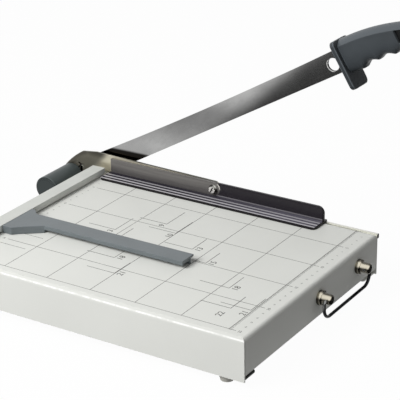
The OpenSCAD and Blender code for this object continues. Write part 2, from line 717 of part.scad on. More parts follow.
// Arm outline in the frame of the pivot: eye, rounded shoulder, straight bar and round end
module arm_outline() {
    end = [guard_screw_x + pivot_out, guard_screw_z + pivot_drop];
    base_z = arm_foot + pivot_drop;
    neck_x = pivot_out - table_left - arm_clear;
    half_w = arm_end_r - touch;
    circle(arm_eye_r);
    polygon(concat([[0, 0], bolt_d * [cos(arm_neck), -sin(arm_neck)], [neck_x, base_z],
                    [end[0], end[1] - half_w], [end[0], end[1] + half_w],
                    [neck_x + arm_ramp, arm_top + pivot_drop]], shoulder_arc));
    translate(end) circle(arm_end_r);
}

// Slot with round ends about the origin, along Y
module slot_outline(w, l) {
    translate([-w / 2, -l / 2 + w / 2]) square([w, l - w]);
    for (side = [-1, 1]) translate([0, side * (l - w) / 2]) circle(w / 2);
}

module press_arm() color(nickel) seat() difference() {
    at_pivot(0) slab(arm_y0, arm_y1) arm_outline();
    to_front([pivot[0], arm_y0 + past, pivot[1]]) cylinder(h = arm_t + 2 * past, r = bolt_r + run_gap);
    to_front([guard_screw_x, arm_y0 + past, guard_screw_z])
        cylinder(h = arm_t + 2 * past, d = guard_screw_d + 2 * hole_gap);
    at_pivot(tail_angle) slab(arm_y0 + past, arm_y1 - past)
        translate([tail_r, 0]) slot_outline(arm_slot_w, arm_slot_l);
}

module guard_screw() color(steel) seat() {
    head_y1 = wall_y1 - slide_gap - guard_washer_t;
    to_front([guard_screw_x, head_y1, guard_screw_z])
        head_screw(guard_screw_d, arm_y0 - head_y1 + guard_nut_h, guard_screw_d * head_ratio,
                   guard_screw_head_h);
}

module guard_washer() color(steel) seat() to_front([guard_screw_x, wall_y1 - slide_gap, guard_screw_z])
    washer(guard_washer_d, guard_screw_d + 2 * hole_gap, guard_washer_t);

module guard_nut() color(steel) seat() to_rear([guard_screw_x, arm_y0, guard_screw_z])
    nut(guard_screw_d, guard_nut_h, guard_screw_d * flats_ratio);

// Pressing foot in plan, with the lip behind the wall only past the arm's end
module guard_foot_plan() {
    difference() {
        round_box([guard_left, guard_front_y], [guard_x1, wall_y0 + guard_end_r], guard_end_r);
        translate([guard_left - past, wall_y0]) square([guard_l + 2 * past, guard_end_r + past]);
    }
    lip_x = guard_screw_x + arm_end_r + guard_end_r;
    translate([lip_x, wall_y0 - guard_t]) square([guard_x1 - lip_x, guard_t + lip_behind]);
}

module guard() color(smoke) seat() translate([0, 0, guard_lift]) difference() {
    union() {
        linear_extrude(guard_foot_t) guard_foot_plan();
        slab(wall_y0, wall_y1) difference() {
            round_box([wall_x0 - guard_r, -guard_r], [guard_x1, guard_h], guard_r);
            translate([wall_x0 - guard_r - past, -guard_r - past])
                square([guard_l + guard_r + 2 * past, guard_r + past]);
            translate([wall_x0 - guard_r - past, -past]) square([guard_r + past, guard_h + 2 * past]);
        }
    }
    to_front([guard_screw_x, wall_y0 + past, guard_screw_z - guard_lift])
        cylinder(h = guard_t + 2 * past, d = guard_screw_d + 2 * run_gap);
    pitch = (guard_foot_w - guard_t) / (guard_grooves_n + 1);
    for (i = [1:guard_grooves_n])
        translate([guard_left - past, wall_y1 - pitch * i - pitch / 4, guard_foot_t - guard_groove_depth])
            cube([guard_l + 2 * past, pitch / 2, guard_groove_depth + eps]);
}

module fence() color(pale_grey) seat() difference() {
    translate([-fence_w, fence_y1, 0]) cube([fence_w, fence_l, fence_h]);
    translate([-groove_depth, fence_y1 - past, -past])
        cube([groove_depth + past, fence_l + 2 * past, groove_h + past]);
    for (y = fence_screw_y) translate([-fence_w / 2, y, -past])
        cylinder(h = fence_screw_l - sheet_t + past + touch, d = fence_screw_d + 2 * hole_gap);
}

module fence_screws() color(steel) seat() for (y = fence_screw_y) translate([-fence_w / 2, y, -sheet_t])
    rotate([180, 0, 0]) head_screw(fence_screw_d, fence_screw_l, fence_screw_d * head_ratio, foot_head_h);

// Plan of the gauge's head, which tapers into the beam on both sides
module gauge_head_plan() {
    elbow = head_w + head_l;
    difference() {
        polygon([[gauge_gap, gauge_y0 + head_back], [head_tip_w, gauge_y0 + head_back],
                 [head_back_w, gauge_y0], [elbow, gauge_y0], [elbow, gauge_y1],
                 [head_w, head_y1 + head_round], [head_w - head_round, head_y1], [gauge_gap, head_y1]]);
        translate([head_back_w, stop_y]) square([elbow, gauge_y0 - stop_y + past]);
    }
}

// Section of the gauge's beam across its length: top plate, stop wall and front skirt
module gauge_section() {
    translate([gauge_y1, fence_h - gauge_plate_t]) square([gauge_w, gauge_plate_t]);
    translate([gauge_y1, fence_h - skirt_h]) square([gauge_wall, skirt_h]);
    translate([stop_y - gauge_wall, gauge_gap]) square([gauge_wall, fence_h - gauge_gap]);
}

module gauge() color(gauge_grey) seat() {
    translate([0, 0, gauge_gap]) linear_extrude(fence_h - gauge_gap) gauge_head_plan();
    translate([head_back_w, 0, 0]) rotate([90, 0, 90]) linear_extrude(gauge_l - head_back_w) gauge_section();
    tongue_l = gauge_y0 - head_y1 + head_back - 2 * head_round;
    translate([tongue_gap - groove_depth, head_y1 + head_round, gauge_gap])
        cube([groove_depth + gauge_gap, tongue_l, groove_h - tongue_gap - gauge_gap]);
}

module bail_posts() color(steel) seat() for (y = post_y) translate([table_x1, y, bail_z]) difference() {
    rotate([0, 90, 0]) rotate_extrude() {
        square([post_foot_d / 2, post_foot_t]);
        square([post_d / 2, post_l - post_round]);
        square([post_d / 2 - post_round, post_l]);
        translate([post_d / 2 - post_round, post_l - post_round]) intersection() {
            circle(post_round);
            square(post_round);
        }
    }
    to_rear([bail_out, -post_d, 0]) cylinder(h = 2 * post_d, r = wire_r + run_gap);
    translate([-past, 0, 0]) rotate([0, 90, 0])
        cylinder(h = post_foot_t + past, d = post_screw_d + 2 * touch);
}

module bail_screws() color(steel) seat() for (y = post_y) translate([table_x1 - sheet_t, y, bail_z])
    rotate([0, -90, 0])
        head_screw(post_screw_d, sheet_t + post_foot_t - touch, post_screw_d * head_ratio, foot_head_h);

// A quarter bend of wire from +X to +Y about the origin, of the radius given
module wire_bend(r) rotate_extrude(angle = 90) translate([r, 0]) circle(wire_r);

// One half of the bail in its own plane: X to the rear, Y down, ending in the pin that turns in a post
module bail_half_wire() {
    low = bail_leg - bail_bend_r;
    translate([0, bail_leg, 0]) rotate([0, 90, 0]) cylinder(h = bail_half - bail_bend_r, r = wire_r);
    translate([bail_half - bail_bend_r, low, 0]) wire_bend(bail_bend_r);
    translate([bail_half, bail_end_r, 0]) rotate([-90, 0, 0]) cylinder(h = low - bail_end_r, r = wire_r);
    translate([bail_half - bail_end_r, bail_end_r, 0]) rotate(-90) wire_bend(bail_end_r);
    translate([bail_pin_in, 0, 0]) rotate([0, 90, 0])
        cylinder(h = bail_half - bail_end_r - bail_pin_in, r = wire_r);
}

module bail_wire() color(dark_steel) seat() translate([bail_x, -bail_y, bail_z]) rotate([-90, 0, 90]) {
    bail_half_wire();
    mirror([1, 0, 0]) bail_half_wire();
}

base_shell();
feet();
foot_screws();
foot_nuts();
lower_knife();
knife_screws();
knife_nuts();
pivot_bolt();
pivot_washers();
pivot_nut();
pivot_spring();
spring_seat();
spring_housing();
housing_cap();
blade();
handle_grip();
handle_screws();
press_arm();
guard_screw();
guard_washer();
guard_nut();
guard();
fence();
fence_screws();
gauge();
bail_posts();
bail_screws();
bail_wire();
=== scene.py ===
"""Looks of a desk guillotine paper cutter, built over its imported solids."""

import json
import math

import bmesh
import bpy
import numpy as np
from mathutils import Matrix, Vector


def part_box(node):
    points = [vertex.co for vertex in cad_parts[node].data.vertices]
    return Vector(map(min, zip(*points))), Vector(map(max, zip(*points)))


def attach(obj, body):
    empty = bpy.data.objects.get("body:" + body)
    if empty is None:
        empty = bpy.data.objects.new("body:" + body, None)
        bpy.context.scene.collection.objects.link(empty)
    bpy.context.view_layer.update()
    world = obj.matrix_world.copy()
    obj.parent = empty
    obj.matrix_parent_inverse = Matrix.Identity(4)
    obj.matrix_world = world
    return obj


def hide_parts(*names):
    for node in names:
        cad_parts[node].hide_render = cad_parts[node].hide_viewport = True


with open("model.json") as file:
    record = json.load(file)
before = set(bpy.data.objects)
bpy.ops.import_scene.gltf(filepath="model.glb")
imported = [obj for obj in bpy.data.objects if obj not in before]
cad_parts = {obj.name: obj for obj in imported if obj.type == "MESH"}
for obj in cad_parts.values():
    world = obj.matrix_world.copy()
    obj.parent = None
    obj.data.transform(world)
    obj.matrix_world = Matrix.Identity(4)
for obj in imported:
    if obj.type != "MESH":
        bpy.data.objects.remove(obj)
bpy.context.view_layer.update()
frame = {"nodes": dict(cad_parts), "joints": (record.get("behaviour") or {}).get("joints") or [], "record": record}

bl_info = {
    "name": "Desk guillotine looks",
    "version": (1, 0, 0),
    "blender": (4, 5, 0),
    "location": "3D View > Sidebar > Guillotine",
    "description": "Finishes, printed table and moulded pieces of a desk guillotine",
    "category": "Object",
}

MM = 0.001
FENCE_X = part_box("fence")[1].x          # the fence's inner face, where the printed scale starts
CUT_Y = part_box("lower_knife")[1].y      # the cutting plane
TABLE_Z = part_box("base_shell")[1].z     # the table's upper face
PRINT_Y = 3.6                           # the printed scale starts this far behind the cut, in mm
JOINTS = {joint["name"]: joint for joint in frame["joints"]}
MOUNTS = {mount["name"]: mount for mount in frame["record"]["mounts"]}
PIVOT = np.array(JOINTS["blade_hinge"]["pos_m"])
BAIL_AXIS = np.array(JOINTS["bail_swing"]["pos_m"])
GUARD_AXIS = np.array(JOINTS["guard_level"]["pos_m"])
LOCK_HOLE = np.array(MOUNTS["lock_hole"]["pos_m"])
SHOULDER_MID = np.array((64.6, -56.2)) * MM     # middle of the arm's round shoulder, from the pivot
SHOULDER_R = 100 * MM
ARM_TOP = 21 * MM                       # the arm's upper edge above the table, at the fence
ARM_SLOPE = 0.018                       # how fast that edge comes down along the arm
TAIL_X = -36.5 * MM                     # the painted shadow beside the spring's tail, from the fence
RIB_PITCH = 5.75 * MM                   # spacing of the guard's ribs
GROOVE_Y = -21.6 * MM                   # the guard's front groove, from the cut
GUARD_Y = -26.8 * MM                    # the guard's front edge, from the cut
HOLE_DROP = 4 * MM                      # how far the lock hole lies below the line through the pivot
HOLE_TO_COLLAR = 14 * MM                # from the lock hole along the blade to the collar
HOLE_X, HOLE_Z = (LOCK_HOLE - PIVOT)[[0, 2]].tolist()
OPEN_ANGLE = math.atan2(HOLE_Z, HOLE_X) + math.asin(HOLE_DROP / math.hypot(HOLE_X, HOLE_Z))
COLLAR_S = math.sqrt(HOLE_X ** 2 + HOLE_Z ** 2 - HOLE_DROP ** 2) + HOLE_TO_COLLAR
LATHE_SIDE = (0.36, 0.48, 0.8)          # any direction that lies along no axis in use


# Properties

def length(name, description, default):
    """A length property in metres, given in millimetres."""
    return bpy.props.FloatProperty(name=name, description=description, default=default * MM,
                                   min=0.0, unit="LENGTH", precision=5)


def tint(name, description, rgb):
    """A colour property from 8-bit display values."""
    return bpy.props.FloatVectorProperty(name=name, description=description, size=3, min=0.0, max=1.0,
                                         subtype="COLOR_GAMMA", default=[c / 255 for c in rgb])


class CutterSizes(bpy.types.PropertyGroup):
    """Sizes of the pieces that are drawn here"""
    line_w: length("Line width", "Width of a printed line", 0.5)
    ink_t: length("Ink thickness", "How far the print stands on the paint", 0.04)
    grid_step: length("Grid step", "Spacing of the printed squares", 50)
    grid_w: length("Grid width", "Distance of the last line from the fence", 300)
    grid_d: length("Grid depth", "Distance of the front line from the cut", 250)
    grid_back: length("Grid rear", "Distance of the rear line from the scale's start", 9)
    grip_l: length("Grip length", "Length of the grip with its collar", 110)
    grip_w: length("Grip width", "Width of the grip", 21)
    grip_h: length("Grip height", "Height of the grip at its second finger ridge", 31)
    grip_dome: length("Grip dome", "Height of the domed top above the grip's flat sides", 5.8)
    finger_pitch: length("Finger pitch", "Spacing of the finger grooves", 18.9)
    finger_depth: length("Finger depth", "Depth of the finger grooves", 3.2)
    wire_d: length("Bail wire", "Diameter of the bail's wire", 3.2)


class CutterColours(bpy.types.PropertyGroup):
    """Colours of the finishes"""
    paint: tint("Table paint", "Paint of the folded table", (229, 230, 225))
    ink: tint("Print", "Ink of the printed lines", (78, 78, 76))
    fence: tint("Fence", "Pale plastic of the fence", (212, 214, 209))
    gauge: tint("Gauge", "Plastic of the sliding gauge", (103, 110, 113))
    grip: tint("Grip", "Plastic of the grip", (63, 68, 72))
    housing: tint("Housing", "Plastic of the spring housing", (72, 79, 79))
    smoke: tint("Guard", "Smoked plastic of the guard", (39, 36, 41))
    nickel: tint("Nickel", "Plate of the arm and posts", (236, 229, 209))
    blade: tint("Blade", "Polished steel of the blade", (226, 226, 225))
    zinc: tint("Zinc", "Plate of the screws", (172, 173, 172))
    knife: tint("Knife", "Ground steel of the fixed knife", (222, 221, 214))
    rubber: tint("Feet", "Rubber of the feet", (201, 200, 192))
    wire: tint("Wire", "Black chrome of the bail", (38, 39, 41))


# Surfaces

def spot(x, y, z):
    """Metres in the part's frame from millimetres along the cut, to the rear of it and above the table."""
    x, y, z = np.broadcast_arrays(*(np.asarray(v, float) for v in (x, y, z)))
    return np.stack([FENCE_X + x * MM, CUT_Y + y * MM, TABLE_Z + z * MM], -1)


def blade_spot(s, y, p):
    """Metres in the part's frame from s along the blade from its pivot, y to the rear, p square to it."""
    s, y, p = np.broadcast_arrays(*(np.asarray(v, float) for v in (s, y, p)))
    c, n = math.cos(OPEN_ANGLE), math.sin(OPEN_ANGLE)
    return np.stack([PIVOT[0] + s * c - p * n, CUT_Y + y, PIVOT[2] + s * n + p * c], -1)


def unit(v):
    """Vectors of length 1 in the same directions."""
    return v / np.linalg.norm(v, axis=-1, keepdims=True)


def quads(rows, columns):
    """Corner numbers of the faces between rows of points whose columns run round and close."""
    i, j = np.meshgrid(np.arange(rows - 1), np.arange(columns), indexing="ij")
    k = (j + 1) % columns
    here, above = i * columns, (i + 1) * columns
    return np.stack([here + j, here + k, above + k, above + j], -1).reshape(-1, 4)


def make_mesh(name, points, faces):
    """A mesh from an array of points and lists of corner numbers."""
    mesh = bpy.data.meshes.new(name)
    mesh.from_pydata(points.reshape(-1, 3).tolist(), [], [list(map(int, face)) for face in faces])
    mesh.validate()
    mesh.update()
    return mesh


def add_object(name, data):
    """An object of that data in the scene."""
    thing = bpy.data.objects.new(name, data)
    bpy.context.scene.collection.objects.link(thing)
    return thing


def make_piece(name, mesh, body, finish, replaced=(), crease=35):
    """An object of that mesh on a body, with its finish, shaded smooth below the crease angle."""
    mesh.shade_smooth()
    mesh.set_sharp_from_angle(angle=math.radians(crease))
    piece = add_object(name, mesh)
    mesh.materials.append(bpy.data.materials[f"{finish}_look"])
    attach(piece, body)
    if replaced:
        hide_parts(*replaced)
    return piece


def skin(name, rings):
    """A closed skin over rings of points, (rings, points, 3), with one flat face at each end."""
    rows, columns = rings.shape[:2]
    faces = quads(rows, columns).tolist()
    faces.append(list(range(columns))[::-1])
    faces.append([(rows - 1) * columns + j for j in range(columns)])
    return outward(make_mesh(name, rings, faces))


def outward(mesh):
    """The closed mesh with its faces outwards: all are flipped where six times its volume is negative."""
    mesh.calc_loop_triangles()
    corners = np.empty(len(mesh.loop_triangles) * 3, np.int32)
    mesh.loop_triangles.foreach_get("vertices", corners)
    points = np.empty(len(mesh.vertices) * 3)
    mesh.vertices.foreach_get("co", points)
    a, b, c = points.reshape(-1, 3)[corners.reshape(-1, 3)].transpose(1, 0, 2)
    if np.einsum("ij,ij->", a, np.cross(b, c)) < 0:
        mesh.flip_normals()
    return mesh


def lathe(name, profile, at, axis, sides=72):
    """A profile of (radius, height) turned about an axis: at + height axis + radius (cos, sin) across."""
    axis = np.asarray(axis, float)
    across = unit(np.cross(axis, LATHE_SIDE))
    up = np.cross(axis, across)
    turn = np.linspace(0, 2 * np.pi, sides, endpoint=False)
    circle = np.cos(turn)[:, None] * across + np.sin(turn)[:, None] * up
    profile = np.asarray(profile, float)
    return skin(name, np.asarray(at) + profile[:, :1, None] * circle + profile[:, 1:, None] * axis)


def tube(name, path, radius, sides=24):
    """A round wire along a flat path: its rings lie on the plane's normal and its cross with the path."""
    tangent = unit(np.gradient(path, axis=0))
    normal = unit(np.cross(path[len(path) // 3] - path[0], path[2 * len(path) // 3] - path[0]))
    side = np.cross(tangent, normal)
    turn = np.linspace(0, 2 * np.pi, sides, endpoint=False)
    rings = (path[:, None] + radius * (np.cos(turn)[None, :, None] * normal
                                       + np.sin(turn)[None, :, None] * side[:, None]))
    return skin(name, rings)


def rounded(corners, radii, steps=8):
    """An outline whose corners are arcs: centre = corner + bisector r / sin(half the angle)."""
    p = np.asarray(corners, float)
    r = np.broadcast_to(np.asarray(radii, float), len(p))[:, None]
    before, after = unit(np.roll(p, 1, 0) - p), unit(np.roll(p, -1, 0) - p)
    half = np.arccos(np.clip(np.sum(before * after, 1), -1, 1))[:, None] / 2
    centre = p + unit(before + after) * r / np.sin(half)
    start = p + before * r / np.tan(half) - centre
    stop = p + after * r / np.tan(half) - centre
    first = np.arctan2(start[:, 1], start[:, 0])
    swing = (np.arctan2(stop[:, 1], stop[:, 0]) - first + np.pi) % (2 * np.pi) - np.pi
    angle = first[:, None] + swing[:, None] * np.linspace(0, 1, steps)
    return (centre[:, None] + r[:, None] * np.stack([np.cos(angle), np.sin(angle)], -1)).reshape(-1, 2)


def inset(outline, depth):
    """The outline moved inwards by a depth, each point along the mean of its edges' inner normals."""
    edge = np.roll(outline, -1, 0) - outline
    edge /= np.maximum(np.linalg.norm(edge, axis=1, keepdims=True), 1e-12)
    inner = np.stack([-edge[:, 1], edge[:, 0]], -1)
    mean = inner + np.roll(inner, 1, 0)
    return outline + depth * mean / np.maximum(np.sum(mean * mean, 1, keepdims=True) / 2, 1e-6)


def plate_rings(outline, near, far, edge_r, steps=4):
    """Rings of a plate with round edges: inset r (1 - cos a) at height r (1 - sin a), a from pi/2 to 0."""
    a = np.linspace(np.pi / 2, 0, steps)
    inward = edge_r * (1 - np.cos(a))
    inward = np.concatenate([inward, inward[::-1]])
    rise = edge_r * (1 - np.sin(a))
    height = np.concatenate([near + rise, far - rise[::-1]])
    return [inset(outline, d) for d in inward], height


# Shader maths

class Wire:
    """A shader socket that Python's operators work on; each operator adds one Math node to its tree."""

    def __init__(self, tree, socket=None):
        self.tree, self.socket = tree, socket

    def add(self, kind, settings=None, inputs=None, out=0):
        """Any other node: its type, settings, values or links of its sockets, and the output wanted."""
        node = self.tree.nodes.new(kind)
        for key, value in (settings or {}).items():
            setattr(node, key, value)
        for key, value in (inputs or {}).items():
            if isinstance(value, Wire):
                self.tree.links.new(value.socket, node.inputs[key])
            else:
                node.inputs[key].default_value = value
        return Wire(self.tree, node.outputs[out])

    def math(self, operation, a, b=0.0):
        """One Math node over two numbers or wires."""
        return self.add("ShaderNodeMath", {"operation": operation}, {0: a, 1: b})

    def __add__(self, other):
        return self.math("ADD", self, other)

    __radd__ = __add__

    def __sub__(self, other):
        return self.math("SUBTRACT", self, other)

    def __rsub__(self, other):
        return self.math("SUBTRACT", other, self)

    def __mul__(self, other):
        return self.math("MULTIPLY", self, other)

    __rmul__ = __mul__

    def __truediv__(self, other):
        return self.math("DIVIDE", self, other)

    def __abs__(self):
        return self.math("ABSOLUTE", self)

    def step(self, low, high):
        """0 below low, 1 above high, smooth between them."""
        return self.add("ShaderNodeMapRange", {"interpolation_type": "SMOOTHSTEP"},
                        {"Value": self, "From Min": low, "From Max": high})

    def mix(self, a, b):
        """Colour a where this is 0, colour b where it is 1."""
        return self.add("ShaderNodeMix", {"data_type": "RGBA"}, {0: self, 6: a, 7: b}, 2)

    def noise(self, scale, detail=2.0, roughness=0.5):
        """Noise over this vector."""
        return self.add("ShaderNodeTexNoise", {}, {"Vector": self, "Scale": scale, "Detail": detail,
                                                   "Roughness": roughness})

    def scaled(self, x, y, z):
        """This vector times three numbers."""
        return self.add("ShaderNodeVectorMath", {"operation": "MULTIPLY"}, {0: self, 1: (x, y, z)})

    def axis(self, name):
        """One part of this vector."""
        return self.add("ShaderNodeSeparateXYZ", {}, {0: self}, "XYZ".index(name))


def linear(rgb, share=1.0):
    """A scene colour from display values, times a share."""
    rgb = np.asarray(rgb, float)
    value = np.where(rgb <= 0.04045, rgb / 12.92, ((rgb + 0.055) / 1.055) ** 2.4) * share
    return (*np.clip(value, 0, 1).tolist(), 1.0)


class Finish:
    """A material with one Principled shader, its Object coordinates, and fields set by value or by wire."""

    def __init__(self, name, **fixed):
        self.material = bpy.data.materials.new(f"{name}_look")
        self.material.use_nodes = True
        self.tree = self.material.node_tree
        self.shader = self.tree.nodes["Principled BSDF"]
        self.wire = Wire(self.tree)
        self.place = self.wire.add("ShaderNodeTexCoord", {}, {}, 3)
        for key, value in fixed.items():
            self.shader.inputs[key.replace("_", " ")].default_value = value

    def feed(self, socket, value):
        """Links a wire to a field of the shader."""
        self.tree.links.new(value.socket, self.shader.inputs[socket])

    def cover(self, mask, colour):
        """Lays a colour over the base colour where a mask is 1."""
        under = Wire(self.tree, self.shader.inputs["Base Color"].links[0].from_socket)
        self.feed("Base Color", mask.mix(under, colour))

    def past(self, axis, at):
        """How far a point lies past a place on an axis."""
        return self.place.axis(axis) - float(at)

    def reach(self, axes, middle):
        """Distance of a point from a middle in the plane of two axes."""
        a, b = map(self.past, axes, middle)
        return self.wire.math("SQRT", a * a + b * b)

    def bump(self, height, strength, distance):
        """Bends the shading by a wire of heights."""
        self.feed("Normal", self.wire.add("ShaderNodeBump", {}, {"Height": height, "Strength": strength,
                                                                 "Distance": distance}))


def painted_sheet(name, colour):
    """Sprayed paint: orange peel, cloudy gloss, painted shade over the front fold with a painted highlight below
    it, painted shade that darkens the front flange.
    """
    f = Finish(name, Metallic=0.0, Specular_IOR_Level=0.1)
    cloud = f.place.noise(14, 3)
    f.feed("Base Color", cloud.step(0.25, 0.75).mix(linear(colour, 0.97), linear(colour)))
    ahead, down = f.past("Y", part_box("base_shell")[0].y), TABLE_Z - f.place.axis("Z")
    # painted shade: the front fold painted greyer, to tone down the light on it
    f.cover((1 - ahead.step(0.001, 0.0045)) * (1 - down.step(0.001, 0.0045)), linear(colour, 0.84))
    # painted highlight: a patchy pale line on the front face just below the fold
    shine = down.step(0.0010, 0.0018) * (1 - down.step(0.0022, 0.0030)) * (1 - ahead.step(0.001, 0.003))
    f.cover(shine * (0.3 + 0.6 * f.place.noise(180, 2).step(0.35, 0.6)), linear((0.99, 0.99, 0.98)))
    # painted shade: the top of the front flange, seen under the end panels, painted nearly black
    up = f.past("Z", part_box("base_shell")[0].z)
    flange = (1 - up.step(0.0017, 0.0022)) * ahead.step(0.0016, 0.0022) * (1 - ahead.step(0.05, 0.06))
    f.cover(flange, linear(colour, 0.06))
    f.feed("Roughness", 0.34 + 0.12 * f.place.noise(60, 2))
    f.bump(f.place.noise(1500, 1), 0.12, 0.0002)


def moulded(name, colour, roughness=0.5, grain=2600, depth=0.00012, cloud=0.08, shine=0.18):
    """Moulded plastic: an even spark-eroded grain that the polish follows, and slight clouds of colour."""
    f = Finish(name, Metallic=0.0, Specular_IOR_Level=shine)
    shade = f.place.noise(35, 3)
    speck = f.place.noise(grain, 2, 0.6)
    f.feed("Base Color", shade.step(0.3, 0.7).mix(linear(colour, 1 - cloud), linear(colour, 1 + cloud)))
    f.feed("Roughness", roughness - 0.08 + 0.16 * speck)
    f.bump(speck, 0.2, depth)
    return f


def plated(name, colour, roughness=0.18, streak=(4, 400, 400), wear=0.12, metal=1.0):
    """Plated metal: fine streaks in the polish and a little clouding of its shine."""
    f = Finish(name, Metallic=metal)
    lines = f.place.scaled(*streak).noise(2.2, 4, 0.6)
    cloud = f.place.noise(45, 3)
    f.feed("Base Color", cloud.step(0.3, 0.75).mix(linear(colour, 1 - wear), linear(colour)))
    f.feed("Roughness", roughness - 0.05 + 0.1 * lines + 0.08 * cloud)
    f.bump(lines, 0.05, 0.00005)
    return f


# Operators

class CutterStep(bpy.types.Operator):
    """Base of every step"""
    bl_options = {"REGISTER", "UNDO"}

    @property
    def sizes(self):
        return bpy.context.scene.cutter_sizes

    @property
    def colours(self):
        return bpy.context.scene.cutter_colours


class CUTTER_OT_finishes(CutterStep):
    """Makes the finishes and gives every solid its own"""
    bl_idname = "cutter.finishes"
    bl_label = "Finishes"

    def execute(self, context):
        c = self.colours
        painted_sheet("table_paint", c.paint)
        moulded("fence_plastic", c.fence, roughness=0.46, grain=2200, depth=0.0001, cloud=0.03)
        moulded("gauge_plastic", c.gauge, roughness=0.34, depth=0.0001, cloud=0.05, shine=0.5)
        self.slate_grip(c.grip)
        self.capped_housing(c.housing)
        moulded("foot_rubber", c.rubber, roughness=0.72, grain=1800, depth=0.0002, cloud=0.06)
        moulded("print_ink", c.ink, roughness=0.6, grain=3000, depth=0.00002, cloud=0.12)
        self.screw_zinc(c.zinc)
        self.nickel_arm(c.nickel)
        self.post_nickel(c.nickel)
        plated("spring_steel", c.wire, roughness=0.3, streak=(200, 200, 200))
        self.ground_knife(c.knife)
        self.black_wire(c.wire, c.zinc)
        self.smoked_guard(c.smoke)
        self.polished_blade(c.blade)
        for part in frame["record"]["subparts"]:
            node = frame["nodes"][part["node"]]
            node.data.materials.clear()
            node.data.materials.append(bpy.data.materials[f"{part['material_slot']}_look"])
        return {"FINISHED"}

    def slate_grip(self, colour):
        """Slate plastic with painted light: a painted lighter dome, painted highlights on the collar's edges with
        a darker band between, painted shade on its rear face with a painted highlight on the grip just past it,
        and painted shade that makes the side pockets nearly black.
        """
        f = moulded("grip_plastic", colour, roughness=0.42, grain=1900, depth=0.00006, shine=0.5)
        # painted shade: the side pockets painted nearly black
        pocket = f.wire.add("ShaderNodeAttribute", {"attribute_name": "pocket"}, {}, 2)
        f.cover(pocket.step(0.35, 0.9), linear(colour, 0.05))
        x, z = f.past("X", PIVOT[0]), f.past("Z", PIVOT[2])
        past = math.cos(OPEN_ANGLE) * x + math.sin(OPEN_ANGLE) * z - COLLAR_S
        # painted light: the dome painted lighter than the sides
        crown = f.wire.add("ShaderNodeAttribute", {"attribute_name": "crown"}, {}, 2)
        f.cover(crown, linear(colour, 1.45))
        # painted highlight: a light line on the grip just past the collar
        f.cover(1 - past.step(0.0052, 0.0060), linear(colour, 1.4))
        # painted shade on the collar's rear face and the grip beside it
        f.cover(1 - past.step(0.0041, 0.0046), linear(colour, 0.62))
        # painted highlights on the collar's rounded edges, a darker band between them
        edge = abs(past - 0.00135).step(0.0011, 0.0016)
        f.cover(1 - past.step(0.0034, 0.0038), edge.mix(linear(colour, 0.75), linear(colour, 1.9)))

    def screw_zinc(self, colour):
        """Zinc plate; on the guard's screw, a painted highlight on the head and painted shadow on the ring round
        it, with a painted highlight at that ring's upper right.
        """
        f = plated("zinc_steel", colour, roughness=0.26, streak=(300, 300, 300), metal=0.6)
        reach = f.reach("XZ", GUARD_AXIS[[0, 2]])
        dx, dz = f.past("X", GUARD_AXIS[0]), f.past("Z", GUARD_AXIS[2])
        # painted highlight at the upper right of the ring round the head
        upper = (0.6 * dx + 0.8 * dz).step(0.0030, 0.0040)
        shade_and_glint = upper.mix(linear((0.22, 0.21, 0.20)), linear((0.85, 0.85, 0.83)))
        # painted shadow on the rest of that ring
        f.cover(1 - reach.step(0.0050, 0.0056), shade_and_glint)
        # painted highlight: the head painted bright
        f.cover(1 - reach.step(0.0034, 0.0037), linear((0.88, 0.87, 0.86)))

    def capped_housing(self, colour):
        """Moulded plastic with a darker end face and a painted highlight round its edge."""
        f = moulded("housing_plastic", colour, roughness=0.38, depth=0.0001, cloud=0.06)
        back = f.past("Y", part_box("spring_housing")[0].y)
        f.cover(1 - back.step(0.0001, 0.0004), linear(colour, 0.62))
        # painted highlight: a pale band round the end face's edge
        f.cover(back.step(0.0002, 0.0005) * (1 - back.step(0.0009, 0.0013)), linear(colour, 2.0))

    def nickel_arm(self, colour):
        """Nickel plate: painted shade at its left end, darker along its upper edge, a painted shadow beside the
        spring's tail.
        """
        f = plated("arm_nickel", colour, roughness=0.26, metal=0.8)
        x, up = f.past("X", FENCE_X), f.past("Z", TABLE_Z)
        top = up + ARM_SLOPE * x
        shoulder = SHOULDER_R - f.reach("XZ", PIVOT[[0, 2]] + SHOULDER_MID)
        # painted shade: the left end painted dark, darkest near the outline
        painted_rim = f.wire.math("MINIMUM", shoulder, ARM_TOP - top)
        left_end_shade = 1 - (x - 0.9 * up).step(-0.027, -0.016)
        f.cover(left_end_shade, painted_rim.step(0.001, 0.009).mix(linear(colour, 0.13), linear(colour, 0.42)))
        f.cover(top.step(ARM_TOP - 0.001, ARM_TOP - 0.0006) * x.step(0.0, 0.05), linear((0.34, 0.34, 0.31)))
        # painted shadow: a near-black strip beside the spring's tail
        slot = 1 - abs(x - TAIL_X).step(0.0011, 0.0019)
        f.cover(slot * up.step(-0.012, -0.010) * (1 - up.step(0.002, 0.004)), linear((0.05, 0.05, 0.045)))

    def post_nickel(self, colour):
        """Nickel plate with painted reflections on the posts: dark all round, with a painted highlight along a
        band on their upper front.
        """
        f = plated("post_nickel", colour, roughness=0.14)
        half = CUTTER_OT_bail.POSTS_W / 2 * MM
        y, z = f.past("Y", BAIL_AXIS[1]), f.past("Z", BAIL_AXIS[2])
        y = y + half - 2 * half * y.step(-0.001, 0.001)
        # painted reflection: the posts painted dark except a highlight band that looks up and to the front
        glint_facing = (0.69 * z - 0.72 * y) / f.wire.math("SQRT", y * y + z * z + 1e-8)
        f.cover(1 - 0.85 * glint_facing.step(0.84, 1.0), linear(colour, 0.12))

    def ground_knife(self, colour):
        """Ground steel, painted lighter along its inner edge against the shade of the seam beside the table, with
        a painted dark reflection on its right end.
        """
        f = plated("knife_steel", colour, roughness=0.3, streak=(3, 500, 500), wear=0.1)
